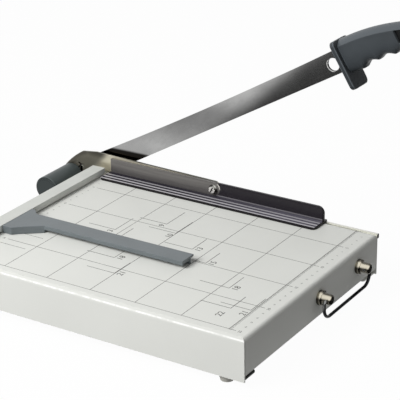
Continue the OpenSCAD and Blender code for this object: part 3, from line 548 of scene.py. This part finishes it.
        # painted light: the inner edge painted pale and less metallic, against the shade in the seam beside the
        # table
        inner = 1 - f.past("Y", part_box("lower_knife")[0].y).step(0.0008, 0.0016)
        f.cover(inner, linear((0.89, 0.89, 0.84)))
        f.feed("Metallic", 0.75 - 0.7 * inner)
        # painted reflection: the right end painted black
        end = f.past("X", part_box("lower_knife")[1].x).step(-0.0006, -0.0003)
        f.cover(end, linear((0.03, 0.03, 0.03)))

    def black_wire(self, colour, glint_colour):
        """Black chrome with a painted highlight on its legs near the posts."""
        f = plated("dark_wire", colour, roughness=0.12, streak=(30, 30, 30))
        # painted highlight: the legs painted lighter near the posts
        f.cover(0.6 * f.past("Z", BAIL_AXIS[2]).step(-0.010, -0.004), linear(glint_colour))

    def smoked_guard(self, colour):
        """Smoked plastic with painted light: the arm behind the wall and a highlight round its end painted in, the
        foot painted paler with painted highlights on its ribs, a paler painted band low on the wall, and painted
        shade on the black front and end.
        """
        f = Finish("smoked_plastic", Metallic=0.0, Specular_IOR_Level=0.25)
        dx, dz = f.past("X", GUARD_AXIS[0]), f.past("Z", GUARD_AXIS[2])
        reach = f.reach("XZ", GUARD_AXIS[[0, 2]])
        up, front = f.past("Z", TABLE_Z), f.past("Y", CUT_Y + GUARD_Y)
        streak = f.place.scaled(8, 260, 260).noise(1.5, 3, 0.6)
        # painted light: the bright arm behind the wall painted in, paler towards the top of the wall
        end, bar = 1 - reach.step(0.0072, 0.0080), 1 - dx.step(-0.0005, 0.0005)
        wall = up.step(0.0027, 0.0034)
        arm = wall * f.wire.math("MAXIMUM", end, bar) * (1 - dz.step(0.0070, 0.0082))
        arm = arm * (0.4 + 0.55 * up.step(0.003, 0.014)) * (0.55 + 0.9 * streak)
        # painted highlight round the upper right of the arm's end
        painted_rim = wall * (1 - abs(reach - 0.0077).step(0.0003, 0.0008))
        painted_rim = painted_rim * dx.step(0.0035, 0.0055) * dz.step(-0.001, 0.0025)
        foot = (1 - wall) * front.step(0.0009, 0.0015)
        # painted highlights along the ribs' crests, dimmer on the rear ones
        crest_glint = f.wire.math("PINGPONG", f.past("Y", CUT_Y + GROOVE_Y), RIB_PITCH / 2)
        crest_glint = crest_glint.step(0.18 * RIB_PITCH, 0.42 * RIB_PITCH)
        rib_glint = up.step(0.0018, 0.0022) * crest_glint * (1 - 0.3 * front.step(0.0100, 0.0110))
        rib_glint = rib_glint * (1 - front.step(0.0155, 0.0170)) * (0.8 + 0.4 * streak)
        tone = arm.mix(linear(colour), linear((0.44, 0.43, 0.42)))
        # painted light: the foot painted paler than the wall, as the table shows through it, paler still to the
        # right
        groove = f.past("X", FENCE_X).step(0.08, 0.25)
        groove = groove.mix(linear((0.16, 0.15, 0.18)), linear((0.34, 0.33, 0.37)))
        tone = foot.mix(tone, rib_glint.mix(groove, linear((0.79, 0.78, 0.80))))
        # painted light: a paler band low on the wall right of the screw, paler at its top
        low_wall_light = wall * (1 - up.step(0.0046, 0.0052)) * dx.step(0.002, 0.006)
        shine = up.step(0.0034, 0.0040).mix(linear((0.31, 0.30, 0.33)), linear((0.45, 0.44, 0.46)))
        f.feed("Base Color", painted_rim.mix(low_wall_light.mix(tone, shine), linear((0.8, 0.79, 0.76))))
        # painted shade: the front face and the right end painted near black
        side = f.past("X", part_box("guard")[1].x).step(-0.0018, -0.0012)
        f.cover(f.wire.math("MAXIMUM", 1 - front.step(0.0009, 0.0015), side), linear(colour, 0.3))
        f.feed("Roughness", 0.16 + 0.14 * streak)
        f.bump(streak, 0.06, 0.0001)

    def polished_blade(self, colour):
        """Steel polished lengthways: fine lines, cloudy shine, a painted dark reflection of the arm low on its
        front, painted shade in the hole with a painted highlight on its edge.
        """
        f = Finish("blade_steel", Metallic=1.0)
        place = f.wire.add("ShaderNodeVectorRotate", {"rotation_type": "Y_AXIS"},
                           {"Vector": f.place, "Center": tuple(PIVOT), "Angle": OPEN_ANGLE})
        lines = place.scaled(5, 700, 700).noise(1.8, 5, 0.65)
        cloud = place.scaled(1, 0.4, 0.4).noise(22, 3)
        # painted reflection: the dark back of the arm, mirrored low on the blade's front face
        arm_reflection = 1 - (f.past("Z", TABLE_Z) + 0.002 * cloud).step(0.0272, 0.0302)
        arm_reflection = arm_reflection * (1 - f.past("Y", CUT_Y).step(0.0010, 0.0016))
        f.feed("Base Color", cloud.step(0.3, 0.7).mix(linear(colour, 0.85), linear(colour)))
        f.cover(0.34 * place.scaled(0.45, 1, 1).noise(170, 3, 0.6).step(0.4, 0.68), linear(colour, 0.72))
        f.cover(arm_reflection, linear((0.16, 0.15, 0.14)))
        hole = f.reach("XZ", LOCK_HOLE[[0, 2]])
        # painted shade: the wall of the hole painted dark
        f.cover(1 - hole.step(0.00655, 0.00665), linear((0.2, 0.2, 0.2)))
        dx, dz = f.past("X", LOCK_HOLE[0]), f.past("Z", LOCK_HOLE[2])
        # painted highlight on the lower left of the hole's edge
        painted_rim = hole.step(0.00655, 0.00665) * (1 - hole.step(0.0072, 0.0075))
        painted_rim = painted_rim * (-0.8 * dx - 0.6 * dz).step(0.001, 0.005)
        f.cover(painted_rim, linear((0.95, 0.95, 0.94)))
        f.feed("Metallic", 1 - 0.85 * painted_rim)
        f.feed("Roughness", 0.075 + 0.03 * lines + 0.02 * cloud)


class CUTTER_OT_print(CutterStep):
    """Prints the squares, the sheet corners and the two scales with their numbers on the table"""
    bl_idname = "cutter.print"
    bl_label = "Printed table"

    # Width and depth of each sheet, its mark's leg towards the cut, and its number's place from the mark
    SHEETS = ((297, 210, 26, -1, 8), (279.4, 215.9, 26, -1, 14), (91, 128, 31.5, -1, 7),
              (148, 105, 31, -1, 8), (128, 91, 33.5, -1, 5), (257, 182, 26, 7.5, -3),
              (210, 148, 26, 7.5, -3), (182, 128, 26, 7.5, -3), (148, 210, 26, 7.5, -3),
              (128, 182, 26, 7.5, -3), (105, 148, 31.5, 7.5, -3))
    LEG_U, MARK_U = 32, 1.4                 # the other leg, and the marks' shift along the cut
    LINES_FROM, LINES_PAST = 14, 7          # the long lines, from the fence and past the last square
    SHORT_LINES, SHORT_FROM, SHORT_TO = (210, 182), 12.5, 43.5
    SCALE_FROM, TICK_L = 0.8, 2.4           # start of the fence's scale, and the ticks of both
    MARK_W, TICK_W = 1.2, 0.42              # widths as shares of a line's
    SUNK = 0.01                             # how far the print reaches into the paint
    SHEET_SIZE, RIGHT_SIZES, LEFT_SIZES = 9.0, (4.2, 2.6), (3.4, 2.4)
    RIGHT_U, LEFT_U = 11, 9.5               # the scales' numbers, past the last square and from the fence

    def execute(self, context):
        z = self.sizes
        w, step = z.line_w / MM, z.grid_step / MM
        wide, deep, back = z.grid_w / MM, z.grid_d / MM, z.grid_back / MM
        across = np.arange(step, wide + 1, step)
        down = np.append(np.arange(step, deep + 1, step), back)
        short = np.array(self.SHORT_LINES)
        u, v, leg = np.array(self.SHEETS).T[:3]
        u = u + self.MARK_U
        tick = np.arange(back + 1, deep + 1)
        bars = [self.strip(across, back, across, deep, w),
                self.strip(self.LINES_FROM, down, wide + self.LINES_PAST, down, w),
                self.strip(self.SHORT_FROM, short, self.SHORT_TO, short, w),
                self.strip(u - self.LEG_U, v, u, v, w * self.MARK_W),
                self.strip(u, v - leg, u, v, w * self.MARK_W),
                self.strip(wide, tick, wide + self.TICK_L, tick, w * self.TICK_W),
                self.strip(self.SCALE_FROM, tick, self.SCALE_FROM + self.TICK_L, tick, w * self.TICK_W)]
        points = np.concatenate(bars)
        low, high = (spot(points[..., 0], PRINT_Y - points[..., 1], h) for h in (-self.SUNK, z.ink_t / MM))
        corners = np.concatenate([low, high], 1)
        base = 8 * np.arange(len(corners))[:, None, None]
        box = np.array([[3, 2, 1, 0], [4, 5, 6, 7], [0, 1, 5, 4], [1, 2, 6, 5], [2, 3, 7, 6], [3, 0, 4, 7]])
        mesh = make_mesh("table_print", corners, (base + box).reshape(-1, 4))
        make_piece("table_print", mesh, "base", "print_ink")
        self.numbers(wide, deep)
        return {"FINISHED"}

    @staticmethod
    def strip(u0, v0, u1, v1, w):
        """Corners of thin strips from one end to the other, each half a width to both sides of its line."""
        u0, v0, u1, v1 = np.broadcast_arrays(u0, v0, u1, v1)
        run = unit(np.stack([u1 - u0, v1 - v0], -1))
        side = np.stack([-run[:, 1], run[:, 0]], -1) * w / 2
        a, b = np.stack([u0, v0], -1), np.stack([u1, v1], -1)
        return np.stack([a - side, b - side, b + side, a + side], 1)

    def numbers(self, wide, deep):
        """Plain numbers in centimetres: along both scales, and each sheet corner's depth beside it."""
        marks = []
        for u, (fifth, other) in ((wide + self.RIGHT_U, self.RIGHT_SIZES), (self.LEFT_U, self.LEFT_SIZES)):
            marks += [(str(n), u, 10 * n, other if n % 5 else fifth) for n in range(2, int(deep / 10) + 1)]
        marks += [(f"{v / 10:.0f}", u + du, v + dv, self.SHEET_SIZE) for u, v, _, du, dv in self.SHEETS]
        points, faces, count = [], [], 0
        for body, u, v, size in marks:
            co, polygons = self.digits(body)
            flat = co[:, :2] * size
            u_at, v_at = u - flat[:, 1], v - flat[:, 0]
            height = np.where(co[:, 2] > 0, self.sizes.ink_t / MM, -self.SUNK)
            points.append(spot(u_at, PRINT_Y - v_at, height))
            faces += [[count + k for k in polygon] for polygon in polygons]
            count += len(co)
        mesh = make_mesh("table_numbers", np.concatenate(points), faces)
        make_piece("table_numbers", mesh, "base", "print_ink")

    @staticmethod
    def digits(body):
        """Points and faces of a number one unit high about its middle, with a little thickness."""
        curve = bpy.data.curves.new("digits", "FONT")
        curve.body, curve.size, curve.extrude = body, 1.0, 0.05
        curve.align_x = curve.align_y = "CENTER"
        curve.resolution_u = 3
        text = bpy.data.objects.new("digits", curve)
        mesh = text.to_mesh()
        co = np.empty(len(mesh.vertices) * 3)
        mesh.vertices.foreach_get("co", co)
        polygons = [list(p.vertices) for p in mesh.polygons]
        text.to_mesh_clear()
        bpy.data.objects.remove(text)
        bpy.data.curves.remove(curve)
        return co.reshape(-1, 3), polygons


class CUTTER_OT_grip(CutterStep):
    """Builds the moulded grip with its domed top, finger grooves, side pockets, screw wells and collar"""
    bl_idname = "cutter.grip"
    bl_label = "Grip"

    RISE, CROWN_X, BACK_R, CLOSE_L = 16.1, 12, 215, 13
    FLARE, FLARE_X, FLARE_FADE = 4.4, 18.9, 9.5
    RIDGE_X, RIDGE_SLOPE, RIDGE_R, RIDGE_SOFT = 36.7, 0.09, 300, 0.012
    POCKET_X, POCKET_L, POCKET_H, POCKET_BELOW, POCKET_DEPTH = 66.5, 30.0, 13.0, 6.1, 3.0
    WELL_R, WELL_DEPTH, WELL_P = 4.2, 1.3, -3.5
    COLLAR_T, COLLAR_W, COLLAR_RISE, COLLAR_DROP, COLLAR_R, COLLAR_LEAN = 4.0, 31.0, 16.8, 33.6, 5.0, 2.2
    COLLAR_BACK, COLLAR_EDGE = 1.0, 0.9
    MID_Y = 1.5                             # the grip's middle behind the cut
    CROWN_FADE = 0.08                       # share of the dome over which its painted light comes in
    LEAST = 0.0004                          # square of the share that the closing end keeps

    def execute(self, context):
        z = self.sizes
        end, half_w, pitch = z.grip_l / MM - self.CLOSE_L, z.grip_w / MM / 2, z.finger_pitch / MM
        x = np.concatenate([np.linspace(self.COLLAR_T - 0.5, end, 200),
                            end + self.CLOSE_L * np.sin(np.linspace(0, np.pi / 2, 30)[1:])])
        top, low = self.crown(x), self.belly(x)
        shut = np.sqrt(np.maximum(1 - (np.maximum(x - end, 0) / self.CLOSE_L) ** 2, self.LEAST))
        across, up = self.section()
        top, low, shut = top[:, None], low[:, None], shut[:, None]
        crease, mid = top - z.grip_dome / MM, (top + low) / 2
        p = np.where(up >= 0, crease + (top - crease) * up, crease + (crease - low) * up)
        p = mid + shut * (p - mid)
        y = shut * half_w * across
        pocket = self.pocket(x[:, None], p) * (up < 0.2)
        wells = sum(self.well(x[:, None] - self.COLLAR_T - n * pitch, p) for n in (1, 3))
        deep = half_w - self.POCKET_DEPTH
        y = np.where(np.abs(y) > deep, np.sign(y) * (np.abs(y) + pocket * (deep - np.abs(y))), y)
        y = np.where(y > 0, y - self.WELL_DEPTH * np.clip(wells, 0, 1), y)
        mesh = skin("grip_skin", blade_spot(COLLAR_S + x[:, None] * MM, (self.MID_Y + y) * MM, p * MM))
        # the pocket attribute carries the painted shade of the pockets, the crown attribute the painted light of
        # the dome
        for name, share in (("pocket", pocket), ("crown", np.clip(up / self.CROWN_FADE, 0, 1))):
            tone = mesh.attributes.new(name, "FLOAT", "POINT")
            tone.data.foreach_set("value", np.broadcast_to(share, p.shape).ravel().astype(np.float32))
        make_piece("grip_skin", mesh, "blade", "grip_plastic", ("handle_grip",), 60)
        self.collar()
        return {"FINISHED"}

    def crown(self, x):
        """Top line: level, then drooping as x squared over twice the back's radius."""
        return self.RISE - np.maximum(x - self.CROWN_X, 0) ** 2 / (2 * self.BACK_R)

    def belly(self, x):
        """Lower line: a sloping row of ridges, rectified sines between them, a flare that fades by e."""
        z = self.sizes
        pitch = z.finger_pitch / MM
        wave = np.sin(np.pi * (x - self.RIDGE_X) / pitch) ** 2
        swell = np.sqrt(wave + self.RIDGE_SOFT) - math.sqrt(self.RIDGE_SOFT)
        finger = np.where(x < self.RIDGE_X - pitch, 0, z.finger_depth / MM * swell)
        flare = self.FLARE * np.exp(-np.maximum(x - self.FLARE_X, 0) / self.FLARE_FADE)
        ridge = (self.crown(self.RIDGE_X) - z.grip_h / MM - self.RIDGE_SLOPE * (x - self.RIDGE_X)
                 - np.maximum(x - self.RIDGE_X - pitch, 0) ** 2 / (2 * self.RIDGE_R))
        return ridge - flare + finger

    @staticmethod
    def section():
        """Ring across the grip: a parabola on top, and below it a square rounded by fourth powers."""
        dome = np.linspace(0, np.pi, 56, endpoint=False)
        round_ = np.linspace(np.pi, 2 * np.pi, 150, endpoint=False)
        reach = (np.cos(round_) ** 4 + np.sin(round_) ** 4) ** -0.25
        across = np.concatenate([np.cos(dome), reach * np.cos(round_)])
        return across, np.concatenate([np.sin(dome) ** 2, reach * np.sin(round_)])

    def pocket(self, x, p):
        """1 inside the slanted side pocket, 0 outside, smooth over 0.8 mm of the distance to its sides."""
        slope = (self.POCKET_X + self.POCKET_L / 2 - self.CROWN_X) / self.BACK_R
        along = x - self.POCKET_X
        below = self.crown(self.POCKET_X) - self.POCKET_BELOW - slope * along - p
        inside = np.minimum(np.minimum(along, self.POCKET_L - along),
                            np.minimum(below, self.POCKET_H - below))
        mask = np.clip(inside / 0.8 + 0.5, 0, 1)
        return mask * mask * (3 - 2 * mask)

    def well(self, dx, p):
        """1 inside a round screw well, 0 outside, smooth over 0.6 mm."""
        return np.clip((self.WELL_R - np.hypot(dx, p - self.WELL_P)) / 0.6 + 0.5, 0, 1)

    def collar(self):
        """The collar and finger guard: a rounded plate across the blade with round edges."""
        w, low, high = self.COLLAR_W / 2, -self.COLLAR_DROP, self.COLLAR_RISE
        outline = rounded([(self.COLLAR_LEAN - w, low), (w, low), (w, high), (-w, high)], self.COLLAR_R, 12)
        outlines, height = plate_rings(outline, -self.COLLAR_BACK, self.COLLAR_T, self.COLLAR_EDGE, 6)
        rings = np.stack([blade_spot(COLLAR_S + h * MM, (self.MID_Y + o[:, 0]) * MM, o[:, 1] * MM)
                          for o, h in zip(outlines, height)])
        make_piece("grip_collar", skin("grip_collar", rings), "blade", "grip_plastic")


class CUTTER_OT_edges(CutterStep):
    """Eases the edges of seven pieces: a merged copy of each solid with a narrow round bevel"""
    bl_idname = "cutter.edges"
    bl_label = "Eased edges"

    WIDTHS = (("fence", "base", 0.35), ("gauge", "gauge", 0.4), ("guard", "guard", 0.3),
              ("press_arm", "arm", 0.3), ("spring_housing", "base", 0.9), ("lower_knife", "base", 0.2),
              ("blade", "blade", 0.35))
    # Lines of the guard's foot from the cut, in mm: in the solid, and where they belong
    GUARD_LINES = ((-25.1, GUARD_Y / MM), (-21.91, -22.65), (-19.79, -20.55), (-17.66, -16.9),
                   (-15.54, -14.8), (-13.41, -11.1), (-11.29, -9.0), (-8.1, -8.1), (0.0, 0.0))
    MERGE, FLAT, SHARP = 1e-6, math.radians(0.5), math.radians(32)

    def execute(self, context):
        slots = {part["node"]: part["material_slot"] for part in frame["record"]["subparts"]}
        for node, body, width in self.WIDTHS:
            copy = bmesh.new()
            copy.from_mesh(frame["nodes"][node].data)
            bmesh.ops.remove_doubles(copy, verts=copy.verts, dist=self.MERGE)
            bmesh.ops.dissolve_limit(copy, angle_limit=self.FLAT, verts=copy.verts, edges=copy.edges)
            mesh = bpy.data.meshes.new(f"{node}_eased")
            copy.to_mesh(mesh)
            copy.free()
            if node == "guard":
                self.spread(mesh)
            piece = make_piece(f"{node}_eased", mesh, body, slots[node], (node,))
            bevel = piece.modifiers.new("edge", "BEVEL")
            bevel.width, bevel.segments, bevel.limit_method = width * MM, 3, "ANGLE"
            bevel.angle_limit, bevel.use_clamp_overlap, bevel.harden_normals = self.SHARP, True, True
        return {"FINISHED"}

    def spread(self, mesh):
        """Moves the lines of the guard's foot to their places, and what lies between them in proportion."""
        points = np.empty(len(mesh.vertices) * 3)
        mesh.vertices.foreach_get("co", points)
        y = (points[1::3] - CUT_Y) / MM
        points[1::3] = CUT_Y + MM * np.interp(y, *np.array(self.GUARD_LINES).T)
        mesh.vertices.foreach_set("co", points)
        mesh.update()


class CUTTER_OT_screw(CutterStep):
    """Cuts the look of a driver slot into the guard's screw: a thin dark bar on its face, painted shade in place
    of the slot's depth
    """
    bl_idname = "cutter.screw"
    bl_label = "Screw slot"

    LONG, WIDE, DEEP, TURN = 6.6, 1.3, 0.06, 62

    def execute(self, context):
        along = np.array([-1, 1, 1, -1]) * self.LONG / 2 * MM
        across = np.array([-1, -1, 1, 1]) * self.WIDE / 2 * MM
        c, n = math.cos(math.radians(self.TURN)), math.sin(math.radians(self.TURN))
        x, z = GUARD_AXIS[0] + along * c - across * n, GUARD_AXIS[2] + along * n + across * c
        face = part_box("guard_screw")[0].y
        ends = [np.stack([x, np.full(4, face + depth * MM), z], -1) for depth in (-self.DEEP, self.DEEP)]
        mesh = skin("guard_screw_slot", np.stack(ends))
        make_piece("guard_screw_slot", mesh, "arm", "spring_steel")
        return {"FINISHED"}


class CUTTER_OT_gauge_end(CutterStep):
    """Closes the free end of the gauge's beam: a flat wall between its front skirt and its stop wall"""
    bl_idname = "cutter.gauge_end"
    bl_label = "Gauge end"

    HEAD_L, SKIRT_H, THICK, IN, STOP_IN, PLATE_T = 20.5, 4.4, 1.6, 0.5, 12.9, 2.2
    CORNER_R, EDGE_R = 0.2, 0.15

    def execute(self, context):
        low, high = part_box("gauge")
        y0, y1 = low.y + (self.HEAD_L + self.IN) * MM, low.y + (self.HEAD_L + self.STOP_IN) * MM
        z0, z1 = high.z - self.SKIRT_H * MM + self.IN * MM, high.z - (self.PLATE_T - self.IN) * MM
        x0, x1 = high.x - (self.THICK + self.IN) * MM, high.x - self.IN * MM
        outline = rounded([(y0, z0), (y1, z0), (y1, z1), (y0, z1)], self.CORNER_R * MM, 4)
        outlines, x = plate_rings(outline, x0, x1, self.EDGE_R * MM)
        rings = np.stack([np.column_stack([np.full(len(o), at), o]) for o, at in zip(outlines, x)])
        make_piece("gauge_end", skin("gauge_end", rings), "gauge", "gauge_plastic")
        return {"FINISHED"}


class CUTTER_OT_bail(CutterStep):
    """Bends the wire bail and turns its two posts"""
    bl_idname = "cutter.bail"
    bl_label = "Bail"

    POSTS_W, POST_D, GAP, LEG, BEND_R, END_R = 77.5, 10.6, 0.35, 18.5, 11.0, 2.2
    POST_L, FOOT_D, FOOT_T, ROUND = 13.5, 15.0, 4.5, 2.0
    FOOT_LOW, FOOT_TOP, NECK, TIP_R = 0.4, 0.8, 0.5, 0.05

    def execute(self, context):
        r = self.sizes.wire_d / MM / 2
        half = self.POSTS_W / 2 + self.POST_D / 2 + self.GAP + r
        pin = self.POSTS_W / 2 - self.POST_D / 2
        corners = [(-pin, 0), (-half, 0), (-half, self.LEG), (half, self.LEG), (half, 0), (pin, 0)]
        bend = rounded(corners[1:-1], [self.END_R, self.BEND_R, self.BEND_R, self.END_R], 14)
        flat = np.concatenate([[corners[0]], bend, [corners[-1]]])
        path = BAIL_AXIS + np.stack([np.zeros(len(flat)), flat[:, 0], -flat[:, 1]], -1) * MM
        mesh = tube("bail_loop", path, r * MM)
        make_piece("bail_loop", mesh, "bail", "dark_wire", ("bail_wire",), 60)
        self.posts()
        return {"FINISHED"}

    def posts(self):
        """Each post is one turned profile: foot disc, neck groove, knob with a round end."""
        k, f, h = self.POST_D / 2, self.FOOT_D / 2, self.FOOT_T
        a = np.linspace(0, np.pi / 2, 8)
        knob = np.stack([k - self.ROUND * (1 - np.cos(a)), self.POST_L - self.ROUND * (1 - np.sin(a))], -1)
        foot = [(f - self.FOOT_LOW, 0), (f, self.FOOT_LOW), (f, h - self.FOOT_TOP), (f - self.FOOT_TOP, h),
                (k + self.NECK, h), (k, h + self.NECK)]
        profile = np.concatenate([foot, knob, [(self.TIP_R, self.POST_L)]]) * MM
        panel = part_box("base_shell")[1].x
        for side in (-1, 1):
            at = (panel, BAIL_AXIS[1] + side * self.POSTS_W / 2 * MM, BAIL_AXIS[2])
            name = "post_rear" if side > 0 else "post_front"
            make_piece(name, lathe(name, profile, at, (1, 0, 0)), "base", "post_nickel",
                       ("bail_posts",) if side > 0 else (), 50)


class CUTTER_OT_stage(CutterStep):
    """Sets the floor, the light, the reflecting cards and the camera"""
    bl_idname = "cutter.stage"
    bl_label = "Stage"

    EYE = (955.7, -1306.8, 656.6)
    FORWARD, RIGHT = (-0.4981, 0.7725, -0.3938), (0.8439, 0.5363, -0.0154)
    LENS, SENSOR, FAR = 144.94, 36.0, 20
    GREYS_L = 400                           # length of the graded card, in mm
    GREYS = ((20, 0.52), (60, 0.56), (100, 0.40), (140, 0.29), (185, 0.29), (215, 0.52), (250, 0.66))
    SLANT, DARK_FROM, DARK_TO, DARK = (0.989, 0.148), 0.055, 0.088, 0.045
    FLOOR_HALF, FLOOR_Z, FLOOR_GLOW = 4.0, -0.0002, 0.97
    AIM = (0, 0, 0.05)                      # what the lamp faces, in metres

    def execute(self, context):
        self.camera()
        self.world()
        self.floor()
        self.lamp("key_light", (-0.55, -1.15, 1.15), 1.0, 30)
        self.grade(self.card("blade_card", (-60, -420, 330, 330), (-14, -1500, -1500, -14), 14, 1.0))
        self.card("left_card", (-560, -560, -175, -175), (120, -290, -290, 120), -49)
        self.card("right_card", (345, 345, 900, 900), (500, -600, -600, 500), -49)
        self.card("rear_card", (430, 430, 950, 950), 500, (60, 520, 520, 60))
        bpy.context.scene.view_settings.view_transform = "Standard"
        return {"FINISHED"}

    def camera(self):
        """A camera on the sight line and the right-hand direction that the printed squares give."""
        f = unit(np.array(self.FORWARD))
        r = unit(np.array(self.RIGHT) - f * np.dot(self.RIGHT, f))
        data = bpy.data.cameras.new("camera")
        data.lens, data.sensor_width, data.clip_end = self.LENS, self.SENSOR, self.FAR
        bpy.context.scene.camera = add_object("camera", data)
        self.turn(bpy.context.scene.camera, r, -f, spot(*self.EYE))

    @staticmethod
    def turn(thing, right, back, at):
        """Places a camera or lamp that looks against back, with its own x to the right."""
        matrix = np.eye(4)
        matrix[:3] = np.stack([right, np.cross(back, right), back, at], 1)
        thing.matrix_world = matrix.T.tolist()

    @staticmethod
    def seen(wire):
        """1 for rays from the camera, off polished metal or through glass, else 0."""
        path = wire.tree.nodes.new("ShaderNodeLightPath")
        straight, glossy, through = (Wire(wire.tree, path.outputs[f"Is {kind} Ray"])
                                     for kind in ("Camera", "Glossy", "Transmission"))
        return wire.math("MAXIMUM", wire.math("MAXIMUM", straight, glossy), through)

    def world(self):
        """A white room for what is seen, a dim one for what lights the part."""
        world = bpy.data.worlds.new("room")
        world.use_nodes = True
        bpy.context.scene.world = world
        tree = world.node_tree
        wire = Wire(tree)
        background = tree.nodes["Background"]
        background.inputs["Color"].default_value = (1, 1, 1, 1)
        tree.links.new((0.25 + 0.75 * self.seen(wire)).socket, background.inputs["Strength"])

    def floor(self):
        """A pale floor that the camera sees nearly white, with the part's soft shadow left on it."""
        x, y = np.array([-1, 1, 1, -1]) * self.FLOOR_HALF, np.array([-1, -1, 1, 1]) * self.FLOOR_HALF
        mesh = make_mesh("floor", np.stack([x, y, np.full(4, self.FLOOR_Z)], -1), [[0, 1, 2, 3]])
        floor = add_object("floor", mesh)
        f = Finish("floor_white", Metallic=0.0, Roughness=0.9, Base_Color=(0.8, 0.8, 0.8, 1))
        glow = f.wire.add("ShaderNodeEmission", {}, {"Color": (1, 1, 1, 1), "Strength": 1.0})
        share = self.seen(f.wire)
        both = f.tree.nodes.new("ShaderNodeMixShader")
        f.tree.links.new((self.FLOOR_GLOW * share).socket, both.inputs[0])
        f.tree.links.new(f.shader.outputs[0], both.inputs[1])
        f.tree.links.new(glow.socket, both.inputs[2])
        f.tree.links.new(both.outputs[0], f.tree.nodes["Material Output"].inputs["Surface"])
        mesh.materials.append(f.material)
        floor.visible_diffuse = False

    @staticmethod
    def card(name, x, y, z, glow=0.035):
        """A card that only polished faces see, from its four corners in millimetres and its brightness."""
        mesh = make_mesh(name, spot(x, y, z), [[0, 1, 2, 3]])
        card = add_object(name, mesh)
        f = Finish(name, Metallic=0.0, Roughness=1.0, Specular_IOR_Level=0.0, Base_Color=(0, 0, 0, 1),
                   Emission_Color=(1, 1, 1, 1), Emission_Strength=glow)
        mesh.materials.append(f.material)
        card.visible_camera = card.visible_diffuse = card.visible_shadow = card.visible_transmission = False
        return f

    def grade(self, f):
        """Grades the card that the blade mirrors: greys along it, dark past a slanted line, clear below."""
        x, y = f.past("X", FENCE_X), CUT_Y - f.place.axis("Y")
        tone = f.wire.add("ShaderNodeValToRGB", {}, {"Fac": y / (self.GREYS_L * MM)})
        stops = tone.socket.node.color_ramp.elements
        while len(stops) < len(self.GREYS):
            stops.new(0.5)
        for stop, (at, grey) in zip(stops, self.GREYS):
            stop.position, stop.color = at / self.GREYS_L, (grey, grey, grey, 1)
        past = (self.SLANT[0] * x + self.SLANT[1] * y).step(self.DARK_FROM, self.DARK_TO)
        f.feed("Emission Color", past.mix(tone, (self.DARK, self.DARK, self.DARK, 1)))
        f.feed("Alpha", 1 - f.wire.add("ShaderNodeNewGeometry", {}, {}, "Backfacing"))

    def lamp(self, name, at, size, watts):
        """A square soft light that faces the middle of the part."""
        data = bpy.data.lights.new(name, "AREA")
        data.size, data.energy = size, watts
        lamp = add_object(name, data)
        back = unit(np.array(at) - np.array(self.AIM))
        self.turn(lamp, unit(np.cross([0, 0, 1], back)), back, at)
        lamp.visible_glossy = False


class CUTTER_PT_panel(bpy.types.Panel):
    """Lists the steps and their values"""
    bl_idname = "CUTTER_PT_panel"
    bl_label = "Guillotine"
    bl_space_type = "VIEW_3D"
    bl_region_type = "UI"
    bl_category = "Guillotine"

    def draw(self, context):
        for step in STEPS:
            self.layout.operator(step.bl_idname)
        for group in (context.scene.cutter_sizes, context.scene.cutter_colours):
            for name in group.bl_rna.properties.keys():
                if name not in ("rna_type", "name"):
                    self.layout.prop(group, name)


STEPS = (CUTTER_OT_finishes, CUTTER_OT_edges, CUTTER_OT_screw, CUTTER_OT_gauge_end, CUTTER_OT_print,
         CUTTER_OT_grip, CUTTER_OT_bail, CUTTER_OT_stage)
CLASSES = (CutterSizes, CutterColours, *STEPS, CUTTER_PT_panel)


def register():
    for cls in CLASSES:
        bpy.utils.register_class(cls)
    bpy.types.Scene.cutter_sizes = bpy.props.PointerProperty(type=CutterSizes)
    bpy.types.Scene.cutter_colours = bpy.props.PointerProperty(type=CutterColours)


def unregister():
    del bpy.types.Scene.cutter_sizes
    del bpy.types.Scene.cutter_colours
    for cls in reversed(CLASSES):
        bpy.utils.unregister_class(cls)


def main():
    register()
    for step in STEPS:
        group, name = step.bl_idname.split(".")
        getattr(getattr(bpy.ops, group), name)()


if __name__ == "__main__":
    main()
